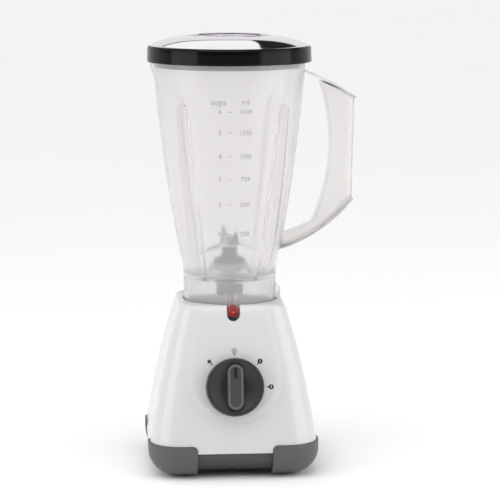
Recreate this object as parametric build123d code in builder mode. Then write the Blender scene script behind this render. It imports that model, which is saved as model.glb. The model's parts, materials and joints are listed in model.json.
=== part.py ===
from build123d import *
import math
import os

# A countertop blender: a graduated plastic jar with a blade unit and a lid, standing on a motor base.
# Millimetres. Z is the drive axis, z = 0 is the table, the control knob faces -Y and the jar handle +X.

os.makedirs("parts", exist_ok=True)

# ---- Driving dimensions -------------------------------------------------------------------------------

# Motor housing, a rounded square that narrows upwards with a slight outward bow
deck_z = 164.0
skirt_z = 26.5
deck_half = 50.5
skirt_half = 81.0
bow = 3.0
deck_corner = 18.0
skirt_corner = 30.0
housing_wall = 2.5
deck_thickness = 3.0
deck_edge_radius = 3.0

# Seat that takes the jar's collar
seat_radius = 45.5
seat_depth = 12.0
seat_z = deck_z - seat_depth
seat_wall = 2.5

# Corner shoes, tray and feet
shoe_half = 82.0
shoe_wall = 4.0
shoe_bottom = 2.0
shoe_top = 33.4
shoe_reach = 36.0
shoe_corner = 30.0
shoe_roll = 24.0
tray_half = 77.4
tray_bottom = 6.1
tray_top = 30.0
tray_wall = 2.5
foot_radius = 8.0
foot_height = 3.0
screw_offset = 47.0

# Control knob on the sloping front
knob_z = 88.8
knob_radius = 27.8
knob_rim = 8.5
knob_dish = 4.0
knob_dish_radius = 10.0
pointer_offset = 13.0
grip_width = 15.5
grip_length = 43.6
grip_height = 12.5
front_slope = math.degrees(math.atan((skirt_half - deck_half) / (deck_z - skirt_z)))

# Jar, measured from the bottom of its collar, which stands just clear of the seat
jar_z = seat_z + 0.3
jar_wall = 2.5
collar_foot_radius = 44.2
collar_radius = 45.2
waist_low = 46.0
waist_high = 63.0
waist_radius = 50.0
belly_z = 153.5
belly_radius = 64.2
neck_z = 233.0
neck_radius = 72.8
rim_z = 250.0
rim_radius = 73.6
floor_z = 36.0
boss_z = 47.0
boss_hole = 9.4
spout_reach = 77.0

# Lid
lid_low = 241.7
lid_high = 257.0
lid_low_radius = 79.3
lid_high_radius = 78.5
skirt_inner = 77.4
plug_low = 236.5
dome_rise = 10.6
cap_radius = 37.5

# Drive
shaft_radius = 4.0
spindle_radius = 3.0
running_gap = 0.05
stack_low = 62.0
stack_high = 98.0
teeth = 6

# Screws
screw_radius = 1.6
screw_head_radius = 3.6


# ---- Helpers ------------------------------------------------------------------------------------------

def save(piece, name):
    """Label a finished piece and write it as its own file."""
    piece.part.label = name
    export_step(piece.part, f"parts/{name}.step")


def turned(points):
    """A solid turned about the drive axis from its (radius, height) corners."""
    with BuildPart(mode=Mode.PRIVATE) as piece:
        with BuildSketch(Plane.XZ):
            with BuildLine():
                Polyline(*points, close=True)
            make_face()
        revolve(axis=Axis.Z)
    return piece


def ring(inner, outer, low, high):
    """A plain ring about the drive axis."""
    return turned([(inner, low), (outer, low), (outer, high), (inner, high)])


def housing_half(z):
    """Half the housing's width at height z: a straight taper with a slight outward bow."""
    t = (z - skirt_z) / (deck_z - skirt_z)
    return skirt_half + (deck_half - skirt_half) * t + bow * 4 * t * (1 - t)


def housing_corner(z):
    """The housing's plan corner radius at height z."""
    t = (z - skirt_z) / (deck_z - skirt_z)
    return skirt_corner + (deck_corner - skirt_corner) * t


def housing_form(low, high, grow):
    """The housing's outer form between two heights, offset outwards by grow."""
    with BuildPart(mode=Mode.PRIVATE) as form:
        for step in range(4):
            z = low + (high - low) * step / 3
            side = 2 * (housing_half(z) + grow)
            with BuildSketch(Plane.XY.offset(z)):
                RectangleRounded(side, side, housing_corner(z) + grow)
        loft()
    return form


def bowl_form(half, low, high, corner, roll):
    """A rounded square bowl whose lower edge is rolled under."""
    with BuildPart(mode=Mode.PRIVATE) as form:
        with BuildSketch(Plane.XY.offset(low)):
            RectangleRounded(2 * half, 2 * half, corner)
        extrude(amount=high - low)
        fillet(form.faces().sort_by(Axis.Z)[0].edges(), radius=roll)
    return form


def corner_block(gap):
    """The space of one corner shoe, with its two upper inner edges rounded."""
    low = shoe_reach - gap
    side = 90.0 - low
    with BuildPart(mode=Mode.PRIVATE) as block:
        with Locations((low + side / 2, low + side / 2, (shoe_top + gap) / 2)):
            Box(side, side, shoe_top + gap)
        top_edges = block.edges().group_by(Axis.Z)[-1]
        fillet(top_edges.sort_by(Axis.X)[0:1] + top_edges.sort_by(Axis.Y)[0:1], radius=5.0)
    return block


def posts(places, inner, outer, low, high):
    """Upright tubes at the given places; inner = 0 makes them solid."""
    with BuildPart(mode=Mode.PRIVATE) as group:
        with BuildSketch(Plane.XY.offset(low)):
            with Locations(*places):
                Circle(outer)
                if inner > 0:
                    Circle(inner, mode=Mode.SUBTRACT)
        extrude(amount=high - low)
    return group


def square_places(offset):
    """Four places at the corners of a square about the drive axis."""
    return [(offset, offset), (-offset, offset), (-offset, -offset), (offset, -offset)]


def screw_group(places, head_low, head_high, end_z, radius, head_radius):
    """Screws that point upwards: heads below, shanks above."""
    with BuildPart(mode=Mode.PRIVATE) as group:
        with BuildSketch(Plane.XY.offset(head_low)):
            with Locations(*places):
                Circle(head_radius)
        extrude(amount=head_high - head_low)
        with BuildSketch(Plane.XY.offset(head_high)):
            with Locations(*places):
                Circle(radius)
        extrude(amount=end_z - head_high)
    return group


# Plane on the front skin at the knob: x to the right, z straight out of the sloping front
knob_y = -housing_half(knob_z)
slope = math.radians(front_slope)
knob_plane = Plane(
    origin=(0, knob_y, knob_z), x_dir=(1, 0, 0), z_dir=(0, -math.cos(slope), math.sin(slope))
)

# ---- Motor housing ------------------------------------------------------------------------------------

panel_rise = 1.0
panel_top_half = 31.0
panel_side_half = 43.5
notch_half = 6.3
notch_floor = 149.6
mount_places = [(40, 14), (-40, 14), (-40, -14), (40, -14)]
mount_boss_low = 135.0

outer_form = housing_form(skirt_z, deck_z, 0)
panel_form = housing_form(skirt_z, deck_z, panel_rise)
inner_form = housing_form(skirt_z - 1, deck_z - deck_thickness, -housing_wall)
shoe_space = corner_block(0.3)

with BuildPart(mode=Mode.PRIVATE) as shield:
    with BuildSketch(Plane.XZ):
        with BuildLine():
            Line((-panel_top_half, deck_z - 4), (panel_top_half, deck_z - 4))
            ThreePointArc((panel_top_half, deck_z - 4), (39, 128), (panel_side_half, 97))
            ThreePointArc((panel_side_half, 97), (31, 69), (0, 59))
            ThreePointArc((0, 59), (-31, 69), (-panel_side_half, 97))
            ThreePointArc((-panel_side_half, 97), (-39, 128), (-panel_top_half, deck_z - 4))
        make_face()
    extrude(amount=skirt_half + 10)
    add(panel_form.part, mode=Mode.INTERSECT)

with BuildPart() as motor_housing:
    add(outer_form.part)
    fillet(motor_housing.faces().sort_by(Axis.Z)[-1].edges(), radius=deck_edge_radius)
    add(shield.part)
    add(inner_form.part, mode=Mode.SUBTRACT)
    # seat ring and floor, screw bosses and motor bosses
    with BuildSketch(Plane.XY.offset(seat_z - 3)):
        Circle(seat_radius + seat_wall)
    extrude(amount=seat_depth + 2)
    add(posts(square_places(screw_offset), 0, 4.5, 8.8, 144).part)
    add(posts(mount_places, 0, 4.5, mount_boss_low, seat_z - 2).part)
    with BuildSketch(Plane.XY.offset(seat_z)):
        Circle(seat_radius)
    extrude(amount=seat_depth + 1, mode=Mode.SUBTRACT)
    with BuildSketch(Plane.XY.offset(seat_z - 5)):
        Circle(11.0)
    extrude(amount=10, mode=Mode.SUBTRACT)
    add(posts(square_places(screw_offset), 0, screw_radius + 0.05, 8, 34).part, mode=Mode.SUBTRACT)
    add(posts(mount_places, 0, screw_radius + 0.05, 134, 147).part, mode=Mode.SUBTRACT)
    # clearance for the four corner shoes
    with PolarLocations(0, 4):
        add(shoe_space.part, mode=Mode.SUBTRACT)
    # round-bottomed notch for the jar lock, open to the seat and to the front
    with BuildSketch(Plane.XZ.offset(seat_radius - 3)):
        with Locations((0, notch_floor + notch_half)):
            Circle(notch_half)
        with Locations((0, (notch_floor + notch_half + deck_z + 1) / 2)):
            Rectangle(2 * notch_half, deck_z + 1 - notch_floor - notch_half)
    extrude(amount=16, mode=Mode.SUBTRACT)
    # hole for the switch bush
    with BuildSketch(knob_plane.offset(-6)):
        Circle(5.2)
    extrude(amount=12, mode=Mode.SUBTRACT)
save(motor_housing, "motor_housing")

# ---- Corner shoes -------------------------------------------------------------------------------------

shoe_outer = bowl_form(shoe_half, shoe_bottom, shoe_top, shoe_corner, shoe_roll)
shoe_inner = bowl_form(
    shoe_half - shoe_wall, shoe_bottom + shoe_wall, shoe_top + 1, shoe_corner - shoe_wall,
    shoe_roll - shoe_wall,
)
shoe_block = corner_block(0)

with BuildPart() as shoe:
    add(shoe_outer.part)
    add(shoe_inner.part, mode=Mode.SUBTRACT)
    add(shoe_block.part, mode=Mode.INTERSECT)
    with Locations((screw_offset, screw_offset, shoe_bottom)):
        Cylinder(foot_radius + 0.2, 2 * (foot_height - shoe_bottom), mode=Mode.SUBTRACT)
        Cylinder(screw_head_radius + 0.2, 5.6, mode=Mode.SUBTRACT)
        Cylinder(screw_radius + 0.3, 20, mode=Mode.SUBTRACT)

for turn, name in enumerate(["rear_right", "rear_left", "front_left", "front_right"]):
    with BuildPart() as corner_shoe:
        with Locations(Rotation(0, 0, 90 * turn)):
            add(shoe.part)
    save(corner_shoe, f"{name}_shoe")

# ---- Bottom tray, feet and screws ---------------------------------------------------------------------

tray_outer = bowl_form(tray_half, tray_bottom, tray_top, shoe_corner - 4.6, shoe_roll - 4.2)
tray_inner = bowl_form(
    tray_half - tray_wall, tray_bottom + tray_wall, tray_top + 1, shoe_corner - 4.6 - tray_wall,
    shoe_roll - 4.2 - tray_wall,
)
gland_z = 18.0

with BuildPart() as bottom_tray:
    add(tray_outer.part)
    add(tray_inner.part, mode=Mode.SUBTRACT)
    add(posts(square_places(screw_offset), 0, screw_radius + 0.3, 4, 12).part, mode=Mode.SUBTRACT)
    # cooling air slots
    with BuildSketch(Plane.XY.offset(tray_bottom - 1)):
        with GridLocations(8, 44, 7, 2):
            SlotOverall(32, 3.2, rotation=90)
    extrude(amount=tray_wall + 2, mode=Mode.SUBTRACT)
    # cord outlet in the rear wall
    with BuildSketch(Plane.XZ.offset(-tray_half - 2)):
        with Locations((0, gland_z)):
            Circle(6.2)
    extrude(amount=12, mode=Mode.SUBTRACT)
save(bottom_tray, "bottom_tray")

with BuildPart() as rubber_feet:
    with BuildSketch():
        with Locations(*square_places(screw_offset)):
            Circle(foot_radius)
    extrude(amount=foot_height)
    fillet(rubber_feet.faces().sort_by(Axis.Z)[0:4].edges(), radius=0.6)
save(rubber_feet, "rubber_feet")

tray_screws = screw_group(
    square_places(screw_offset), foot_height + 0.1, 4.7, 32, screw_radius, screw_head_radius
)
save(tray_screws, "tray_screws")

with BuildPart() as cord_gland:
    with BuildSketch(Plane.XZ.offset(-tray_half + 6)):
        with Locations((0, gland_z)):
            Circle(6.0)
    extrude(amount=-8)
    with BuildSketch(Plane.XZ.offset(-tray_half - 0.4)):
        with Locations((0, gland_z)):
            Circle(8.5)
    extrude(amount=-2)
    with BuildSketch(Plane.XZ.offset(-tray_half + 7)):
        with Locations((0, gland_z)):
            Circle(3.6)
    extrude(amount=-12, mode=Mode.SUBTRACT)
save(cord_gland, "cord_gland")

with BuildPart() as terminal_block:
    with Locations((0, 48, 14.6)):
        Box(26, 14, 12)
    with BuildSketch(Plane.XZ.offset(-60)):
        with Locations((-7, 15), (0, 15), (7, 15)):
            Circle(2.0)
    extrude(amount=30, mode=Mode.SUBTRACT)
save(terminal_block, "terminal_block")

with BuildPart() as suppression_capacitor:
    with Locations((30, -46, 18.6)):
        Box(26, 10, 20)
    fillet(suppression_capacitor.edges().filter_by(Axis.Z), radius=1.5)
save(suppression_capacitor, "suppression_capacitor")

# ---- Motor, stator side -------------------------------------------------------------------------------

bolt_places = square_places(26)
stator_half = 33.0
bore_radius = 19.0

with BuildPart() as stator_core:
    with BuildSketch(Plane.XY.offset(stack_low)):
        RectangleRounded(2 * stator_half, 2 * stator_half, 8)
        Circle(bore_radius, mode=Mode.SUBTRACT)
        with Locations((22, 12), (-22, 12), (-22, -12), (22, -12)):
            Rectangle(8, 8, mode=Mode.SUBTRACT)
        with Locations(*bolt_places):
            Circle(2.1, mode=Mode.SUBTRACT)
    extrude(amount=stack_high - stack_low)
save(stator_core, "stator_core")

coil_rise = 8.0

with BuildPart() as field_coils:
    for side in (1, -1):
        with BuildSketch(Plane.XY.offset(stack_low)):
            with Locations((22, 12 * side), (-22, 12 * side)):
                Rectangle(7.6, 7.6)
        extrude(amount=stack_high - stack_low)
        for level in (stack_low - coil_rise, stack_high):
            with BuildSketch(Plane.XY.offset(level)):
                with Locations((22, 17 * side), (-22, 17 * side)):
                    Rectangle(7.6, 17.6)
                with Locations((0, 22.4 * side)):
                    Rectangle(44, 6.8)
            extrude(amount=coil_rise)
    with BuildSketch(Plane.XY.offset(stack_low - coil_rise)):
        with Locations(*bolt_places):
            Circle(4.2)
    extrude(amount=stack_high - stack_low + 2 * coil_rise, mode=Mode.SUBTRACT)
save(field_coils, "field_coils")

bearing_outer = 10.5


def motor_bracket(plate_low, hub_low, hub_high, post_low, post_high, length, width):
    """A cast end bracket: plate, bearing hub and four posts that reach the stator."""
    with BuildPart(mode=Mode.PRIVATE) as bracket:
        with BuildSketch(Plane.XY.offset(plate_low)):
            RectangleRounded(length, width, 10)
        extrude(amount=3)
        with BuildSketch(Plane.XY.offset(hub_low)):
            Circle(bearing_outer + 2.5)
        extrude(amount=hub_high - hub_low)
        add(posts(bolt_places, 0, 3.6, post_low, post_high).part)
        with BuildSketch(Plane.XY.offset(hub_low - 1)):
            Circle(bearing_outer)
            with Locations(*bolt_places):
                Circle(2.1)
        extrude(amount=max(post_high, hub_high) - hub_low + 40, both=True, mode=Mode.SUBTRACT)
    return bracket


with BuildPart() as upper_bracket:
    add(motor_bracket(127, 124, 133, stack_high, 127, 92, 62).part)
    add(posts(mount_places, 0, 2.0, 126, 131).part, mode=Mode.SUBTRACT)
save(upper_bracket, "upper_bracket")

with BuildPart() as lower_bracket:
    add(motor_bracket(29, 26, 35, 32, stack_low, 62, 62).part)
save(lower_bracket, "lower_bracket")

upper_bearing = ring(shaft_radius + running_gap, bearing_outer, 124.5, 132.5)
save(upper_bearing, "upper_bearing")

lower_bearing = ring(shaft_radius + running_gap, bearing_outer, 26.5, 34.5)
save(lower_bearing, "lower_bearing")

motor_bolts = screw_group(bolt_places, 26.6, 29, 131, 2.0, 3.4)
save(motor_bolts, "motor_bolts")

motor_grommets = posts(mount_places, 2.0, 6.0, 130, mount_boss_low)
save(motor_grommets, "motor_grommets")

mount_screws = screw_group(mount_places, 124.8, 127, 146, screw_radius, screw_head_radius)
save(mount_screws, "mount_screws")

brush_z = 46.0

with BuildPart() as brush_holders:
    with Locations((23, 0, brush_z), (-23, 0, brush_z)):
        Box(22, 9, 11)
        Box(30, 6.2, 8.2, mode=Mode.SUBTRACT)
    with Locations((27, 0, (brush_z - 5.5 + 32) / 2), (-27, 0, (brush_z - 5.5 + 32) / 2)):
        Box(10, 9, brush_z - 5.5 - 32)
save(brush_holders, "brush_holders")

with BuildPart() as carbon_brushes:
    with Locations((18.1, 0, brush_z), (-18.1, 0, brush_z)):
        Box(15, 6, 8)
save(carbon_brushes, "carbon_brushes")

with BuildPart() as brush_springs:
    for side in (1, -1):
        with BuildSketch(Plane.YZ.offset(side * 25.6)):
            with Locations((0, brush_z)):
                Circle(2.6)
                Circle(1.8, mode=Mode.SUBTRACT)
        extrude(amount=8.2 * side)
save(brush_springs, "brush_springs")

shaft_seal = turned([
    (shaft_radius + running_gap, seat_z - 4), (10.9, seat_z - 4), (10.9, seat_z),
    (13, seat_z), (13, seat_z + 1.4), (7, seat_z + 1.4), (shaft_radius + running_gap, seat_z - 1),
])
save(shaft_seal, "shaft_seal")

# ---- Rotor and drive star -----------------------------------------------------------------------------

star_low = seat_z + 2.4
star_high = seat_z + 26.0
star_root = 6.4
star_tip = 10.0
coupling_low = jar_z + 17.0
coupling_outer = 12.8

armature_shaft = turned([
    (0, 22), (shaft_radius, 22), (shaft_radius, star_low + 0.1), (3, star_low + 0.1),
    (3, star_high - 2), (0, star_high - 2),
])
save(armature_shaft, "armature_shaft")

with BuildPart() as armature_core:
    with BuildSketch(Plane.XY.offset(stack_low)):
        Circle(bore_radius - 0.8)
        Circle(shaft_radius, mode=Mode.SUBTRACT)
        with PolarLocations(14.5, 12):
            SlotCenterToCenter(5, 2.6, mode=Mode.SUBTRACT)
    extrude(amount=stack_high - stack_low)
save(armature_core, "armature_core")

with BuildPart() as armature_windings:
    for low in (stack_low - 7, stack_high):
        with BuildSketch(Plane.XY.offset(low)):
            Circle(16.6)
            Circle(shaft_radius, mode=Mode.SUBTRACT)
        extrude(amount=7)
    fillet(armature_windings.edges().filter_by(GeomType.CIRCLE).group_by(SortBy.RADIUS)[-1], radius=2)
save(armature_windings, "armature_windings")

with BuildPart() as commutator:
    with BuildSketch(Plane.XY.offset(40)):
        Circle(10.5)
        Circle(shaft_radius, mode=Mode.SUBTRACT)
    extrude(amount=12)
    with BuildSketch(Plane.XY.offset(40)):
        with PolarLocations(10.2, 24):
            Rectangle(1.6, 0.5, mode=Mode.ADD)
    extrude(amount=13, mode=Mode.SUBTRACT)
save(commutator, "commutator")

with BuildPart() as cooling_fan:
    with BuildSketch(Plane.XY.offset(108)):
        Circle(31)
        Circle(shaft_radius, mode=Mode.SUBTRACT)
    extrude(amount=2)
    with BuildSketch(Plane.XY.offset(110)):
        Circle(9)
        Circle(shaft_radius, mode=Mode.SUBTRACT)
    extrude(amount=11)
    with BuildSketch(Plane.XY.offset(110)):
        with PolarLocations(20, 10):
            Rectangle(20, 1.6, rotation=28)
    extrude(amount=9)
save(cooling_fan, "cooling_fan")

with BuildPart() as drive_star:
    with BuildSketch(Plane.XY.offset(star_low)):
        Circle(9.5)
    extrude(amount=3)
    with BuildSketch(Plane.XY.offset(star_low)):
        Circle(star_root)
        with PolarLocations((star_root + star_tip) / 2 - 0.5, teeth):
            Rectangle(star_tip - star_root + 1, 4.0)
    extrude(amount=star_high - star_low)
    chamfer(drive_star.faces().sort_by(Axis.Z)[-1].edges(), length=0.8)
    with BuildSketch(Plane.XY.offset(star_low - 1)):
        Circle(3.0)
    extrude(amount=star_high - star_low, mode=Mode.SUBTRACT)
    with BuildSketch(Plane.XY.offset(star_low - 1)):
        Circle(shaft_radius)
    extrude(amount=1.1, mode=Mode.SUBTRACT)
save(drive_star, "drive_star")

# ---- Rotary switch and knob ---------------------------------------------------------------------------

bush_radius = 5.0

with BuildPart() as switch_body:
    with BuildSketch(knob_plane.offset(-housing_wall - 1.2)):
        RectangleRounded(26, 26, 3)
    extrude(amount=-20)
    with BuildSketch(knob_plane.offset(-housing_wall - 1.2)):
        Circle(bush_radius)
    extrude(amount=housing_wall + 3.4)
    with BuildSketch(knob_plane.offset(-14)):
        Circle(spindle_radius + running_gap)
    extrude(amount=20, mode=Mode.SUBTRACT)
save(switch_body, "switch_body")

with BuildPart() as switch_nut:
    with BuildSketch(knob_plane.offset(panel_rise + 0.1)):
        RegularPolygon(radius=7.5, side_count=6)
        Circle(bush_radius, mode=Mode.SUBTRACT)
    extrude(amount=1.0)
save(switch_nut, "switch_nut")

knob_back = panel_rise + 0.8
knob_axis = Axis(knob_plane.origin, knob_plane.z_dir)

with BuildPart() as control_knob:
    # round body with a rolled rim and a conical dish, turned about the knob's own axis
    with BuildSketch(Plane(origin=knob_plane.origin, x_dir=knob_plane.x_dir, z_dir=-knob_plane.y_dir)):
        with BuildLine():
            Polyline(
                (0, knob_back), (knob_radius, knob_back), (knob_radius - 0.4, knob_back + knob_rim - 1.5)
            )
            ThreePointArc(
                (knob_radius - 0.4, knob_back + knob_rim - 1.5),
                (knob_radius - 1.0, knob_back + knob_rim - 0.4), (knob_radius - 2.2, knob_back + knob_rim),
            )
            Polyline(
                (knob_radius - 2.2, knob_back + knob_rim), (knob_dish_radius, knob_back + knob_dish),
                (0, knob_back + knob_dish), (0, knob_back),
            )
        make_face()
    revolve(axis=knob_axis)
    # finger bar across the dish
    with BuildSketch(knob_plane.offset(knob_back + 1)):
        SlotOverall(grip_length, grip_width, rotation=90)
    extrude(amount=grip_height - 1, taper=2)
    fillet(control_knob.faces().sort_by(knob_axis)[-1].edges(), radius=0.8)
    # hollow for the switch nut, and the bore for the switch shaft
    with BuildSketch(knob_plane.offset(knob_back - 1)):
        Circle(8.6)
    extrude(amount=2.4, mode=Mode.SUBTRACT)
    with BuildSketch(knob_plane.offset(knob_back - 1)):
        Circle(spindle_radius)
    extrude(amount=10, mode=Mode.SUBTRACT)
    # pocket for the pointer window near the upper end of the bar
    with BuildSketch(knob_plane.offset(knob_back + grip_height - 1.2)):
        with Locations((0, pointer_offset)):
            SlotOverall(10, 3, rotation=90)
    extrude(amount=3, mode=Mode.SUBTRACT)
save(control_knob, "control_knob")

with BuildPart() as knob_pointer:
    with BuildSketch(knob_plane.offset(knob_back + grip_height - 1.2)):
        with Locations((0, pointer_offset)):
            SlotOverall(9.9, 2.9, rotation=90)
    extrude(amount=0.7)
save(knob_pointer, "knob_pointer")

with BuildPart() as switch_shaft:
    with BuildSketch(knob_plane.offset(-13)):
        Circle(spindle_radius)
    extrude(amount=13 + knob_back + 8.5)
save(switch_shaft, "switch_shaft")

# ---- Jar lock -----------------------------------------------------------------------------------------

slider_half = 5.7
slider_inner = -46.3
slider_outer = -51.3
stem_inner = -48.8
stem_outer = -50.6

with BuildPart() as lock_slider:
    with BuildSketch(Plane.XZ.offset(-slider_inner)):
        with Locations((0, notch_floor + 3.3 + slider_half)):
            Circle(slider_half)
    extrude(amount=slider_inner - slider_outer)
    with BuildSketch(Plane.XZ.offset(-stem_inner)):
        with Locations((0, 146)):
            Rectangle(5, 18)
    extrude(amount=stem_inner - stem_outer)
    with Locations((0, -48.6, 137.6)):
        Box(7, 5.6, 1.6)
save(lock_slider, "lock_slider")

with BuildPart() as lock_bracket:
    with Locations((0, -42.5, 141)):
        Box(16, 2, 16)
    with Locations((0, -46.4, 127)):
        Box(16, 9.8, 2)
    with Locations((0, -42.5, 130)):
        Box(16, 2, 8)
    with Locations((0, -38.5, 148)):
        Box(16, 10, 2)
save(lock_bracket, "lock_bracket")

with BuildPart() as lock_spring:
    with BuildSketch(Plane.XY.offset(128)):
        with Locations((0, -48.2)):
            Circle(2.2)
            Circle(1.5, mode=Mode.SUBTRACT)
    extrude(amount=136.8 - 128)
save(lock_spring, "lock_spring")

with BuildPart() as interlock_switch:
    with Locations((0, -38.0, 138)):
        Box(14, 7, 12)
save(interlock_switch, "interlock_switch")

# ---- Jar ----------------------------------------------------------------------------------------------

def jar_outline(offset):
    """Half section of the jar above its waist, as the arc of its flank, moved outwards by offset."""
    return (
        (collar_radius + offset, jar_z + waist_low),
        (waist_radius + offset, jar_z + waist_high),
        (belly_radius + offset, jar_z + belly_z),
        (neck_radius + offset, jar_z + neck_z),
        (rim_radius + offset, jar_z + rim_z),
    )


def jar_solid(offset, foot, low):
    """The jar's form, turned from its outline: foot radius below, flank arc and upright rim above."""
    collar, waist, belly, neck, rim = jar_outline(offset)
    with BuildPart(mode=Mode.PRIVATE) as form:
        with BuildSketch(Plane.XZ):
            with BuildLine():
                Polyline((0, low), (foot, low), collar, waist)
                ThreePointArc(waist, belly, neck)
                Polyline(neck, rim, (0, rim[1]), (0, low))
            make_face()
        revolve(axis=Axis.Z)
    return form


flute_stations = [(38.0, 55.0, 13.4), (120.0, 65.6, 10.8), (205.0, 74.0, 7.8)]


def flute_tool(grow):
    """Tapering round bar that presses a flute into the jar's flank; grow thickens it."""
    with BuildPart(mode=Mode.PRIVATE) as tool:
        for height, centre, radius in flute_stations:
            with BuildSketch(Plane.XY.offset(jar_z + height)):
                with Locations((centre, 0)):
                    Circle(radius + grow)
        loft()
        with Locations((flute_stations[-1][1], 0, jar_z + flute_stations[-1][0])):
            Sphere(flute_stations[-1][2] + grow)
    return tool


def spout_form(grow):
    """The pouring lip on the left, a round lobe that swells towards the rim."""
    with BuildPart(mode=Mode.PRIVATE) as form:
        for height, reach, radius in ((226.0, 71.4, 19.0), (241.5, 77.0, 22.0)):
            with BuildSketch(Plane.XY.offset(jar_z + height)):
                with Locations((radius - reach, 0)):
                    Circle(radius + grow)
        loft()
        with BuildSketch(Plane.XY.offset(jar_z + 241.5)):
            with Locations((22.0 - spout_reach, 0)):
                Circle(22.0 + grow)
        extrude(amount=rim_z - 241.5)
    return form


jar_outer_form = jar_solid(0, collar_foot_radius, jar_z)
jar_inner_form = jar_solid(-jar_wall, collar_radius - jar_wall, jar_z + floor_z)
lug_points = [(43, 12.8), (48.7, 12.8), (48.7, 21.7), (44, 27.0)]

with BuildPart(mode=Mode.PRIVATE) as jar_cavity:
    add(jar_inner_form.part)
    add(spout_form(-jar_wall).part)
    with PolarLocations(0, 4, start_angle=45):
        add(flute_tool(jar_wall).part, mode=Mode.SUBTRACT)
    # the raised boss round the blade carrier
    add(turned([
        (0, jar_z + floor_z - 1), (22, jar_z + floor_z - 1), (22, jar_z + floor_z),
        (17, jar_z + boss_z), (0, jar_z + boss_z),
    ]).part, mode=Mode.SUBTRACT)

with BuildPart() as jar_body:
    add(jar_outer_form.part)
    add(spout_form(0).part)
    with PolarLocations(0, 4, start_angle=45):
        add(flute_tool(0).part, mode=Mode.SUBTRACT)
    # latch lug under the handle
    with BuildSketch(Plane.XZ):
        with BuildLine():
            Polyline(*[(r, jar_z + z) for r, z in lug_points], close=True)
        make_face()
    extrude(amount=9, both=True)
    add(jar_cavity.part, mode=Mode.SUBTRACT)
    # hollow collar under the floor, and the hole for the blade carrier
    add(turned([
        (0, jar_z - 1), (collar_foot_radius - jar_wall, jar_z - 1),
        (collar_radius - jar_wall, jar_z + floor_z - 3), (19.5, jar_z + floor_z - 3),
        (14.5, jar_z + boss_z - 3), (0, jar_z + boss_z - 3),
    ]).part, mode=Mode.SUBTRACT)
    with BuildSketch(Plane.XY.offset(jar_z + floor_z)):
        Circle(boss_hole)
    extrude(amount=boss_z - floor_z + 5, mode=Mode.SUBTRACT)
    fillet(jar_body.edges().filter_by(GeomType.CIRCLE).group_by(Axis.Z)[0].sort_by(SortBy.RADIUS)[-1],
           radius=1.2)
save(jar_body, "jar_body")

# ---- Handle -------------------------------------------------------------------------------------------

grip_half = 12.0
strip_half = 14.0
handle_wall = 2.2
back_round = 8.0
plate_start = (60.0, 239.0)
plate_middle = (105.0, 218.0)
plate_end = (122.4, 207.8)
back_top = (119.8, 208.0)
back_foot = (117.6, 108.6)
arm_arc = [(119.2, 108.3), (92.6, 82.4), (47.0, 59.6)]
arm_top = [(47.0, 72.0), (79.5, 84.6)]
grip_arc = [(79.5, 84.6), (97.8, 165.0), (87.3, 223.1)]


def at_jar(point, right=0.0, up=0.0):
    """A (radius, height) point of the jar's own section, lifted to the jar's place and shifted."""
    return (point[0] + right, jar_z + point[1] + up)


def side_block(half, outline_arcs):
    """A block as thick as 2 * half from a side outline given as lines and three-point arcs."""
    with BuildPart(mode=Mode.PRIVATE) as block:
        with BuildSketch(Plane.XZ):
            with BuildLine():
                for points in outline_arcs:
                    if len(points) == 3:
                        ThreePointArc(*points)
                    else:
                        Line(*points)
            make_face()
        extrude(amount=half, both=True)
    return block


def back_edges(block):
    """The two upright edges down the back of a handle block."""
    return block.edges().filter_by(GeomType.LINE).sort_by(
        lambda edge: edge.center().X if abs(edge.tangent_at(0).Z) > 0.9 else 0
    )[-2:]


inset = handle_wall
plate_low = [at_jar(p, up=-inset) for p in (plate_start, plate_middle, back_top)]
arm_low = [at_jar(p, up=inset * 0.8) for p in (back_foot, arm_arc[1], arm_arc[2])]

# outside of the grip and of the lower arm
with BuildPart(mode=Mode.PRIVATE) as grip_outside:
    add(side_block(grip_half, [
        plate_low,
        (plate_low[2], arm_low[0]),
        arm_low,
        (arm_low[2], at_jar(arm_top[0])),
        (at_jar(arm_top[0]), at_jar(arm_top[1])),
        [at_jar(p) for p in grip_arc],
        (at_jar(grip_arc[2]), plate_low[0]),
    ]).part)
    fillet(back_edges(grip_outside), radius=back_round)

# inside of the channel, which is open towards the jar
with BuildPart(mode=Mode.PRIVATE) as grip_inside:
    add(side_block(grip_half - handle_wall, [
        (at_jar((30.0, 260.0)), (back_top[0] - inset, jar_z + 260.0)),
        ((back_top[0] - inset, jar_z + 260.0), (back_foot[0] - inset, jar_z + 50.0)),
        ((back_foot[0] - inset, jar_z + 50.0), at_jar((30.0, 50.0))),
        (at_jar((30.0, 50.0)), at_jar((30.0, 260.0))),
    ]).part)
    fillet(back_edges(grip_inside), radius=back_round - handle_wall)

with BuildPart() as jar_handle:
    add(grip_outside.part)
    add(grip_inside.part, mode=Mode.SUBTRACT)
    # strips along the top and along the lower arm, a little wider than the grip, with small end lips
    add(side_block(strip_half, [
        [at_jar(p) for p in (plate_start, plate_middle, plate_end)],
        (at_jar(plate_end), at_jar(plate_end, -0.6, -inset)),
        [at_jar(p, up=-inset) for p in ((plate_end[0] - 0.6, plate_end[1]), plate_middle, plate_start)],
        (at_jar(plate_start, up=-inset), at_jar(plate_start)),
    ]).part)
    add(side_block(strip_half, [
        [at_jar(p) for p in arm_arc],
        (at_jar(arm_arc[2]), at_jar(arm_arc[2], up=inset)),
        [at_jar(arm_arc[2], up=inset), at_jar(arm_arc[1], -1.0, inset), at_jar(arm_arc[0], -0.6, inset)],
        (at_jar(arm_arc[0], -0.6, inset), at_jar(arm_arc[0])),
    ]).part)
    add(jar_outer_form.part, mode=Mode.SUBTRACT)
save(jar_handle, "jar_handle")

# ---- Blade unit ---------------------------------------------------------------------------------------

carrier_top = 61.5
carrier_body = 9.2

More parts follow.
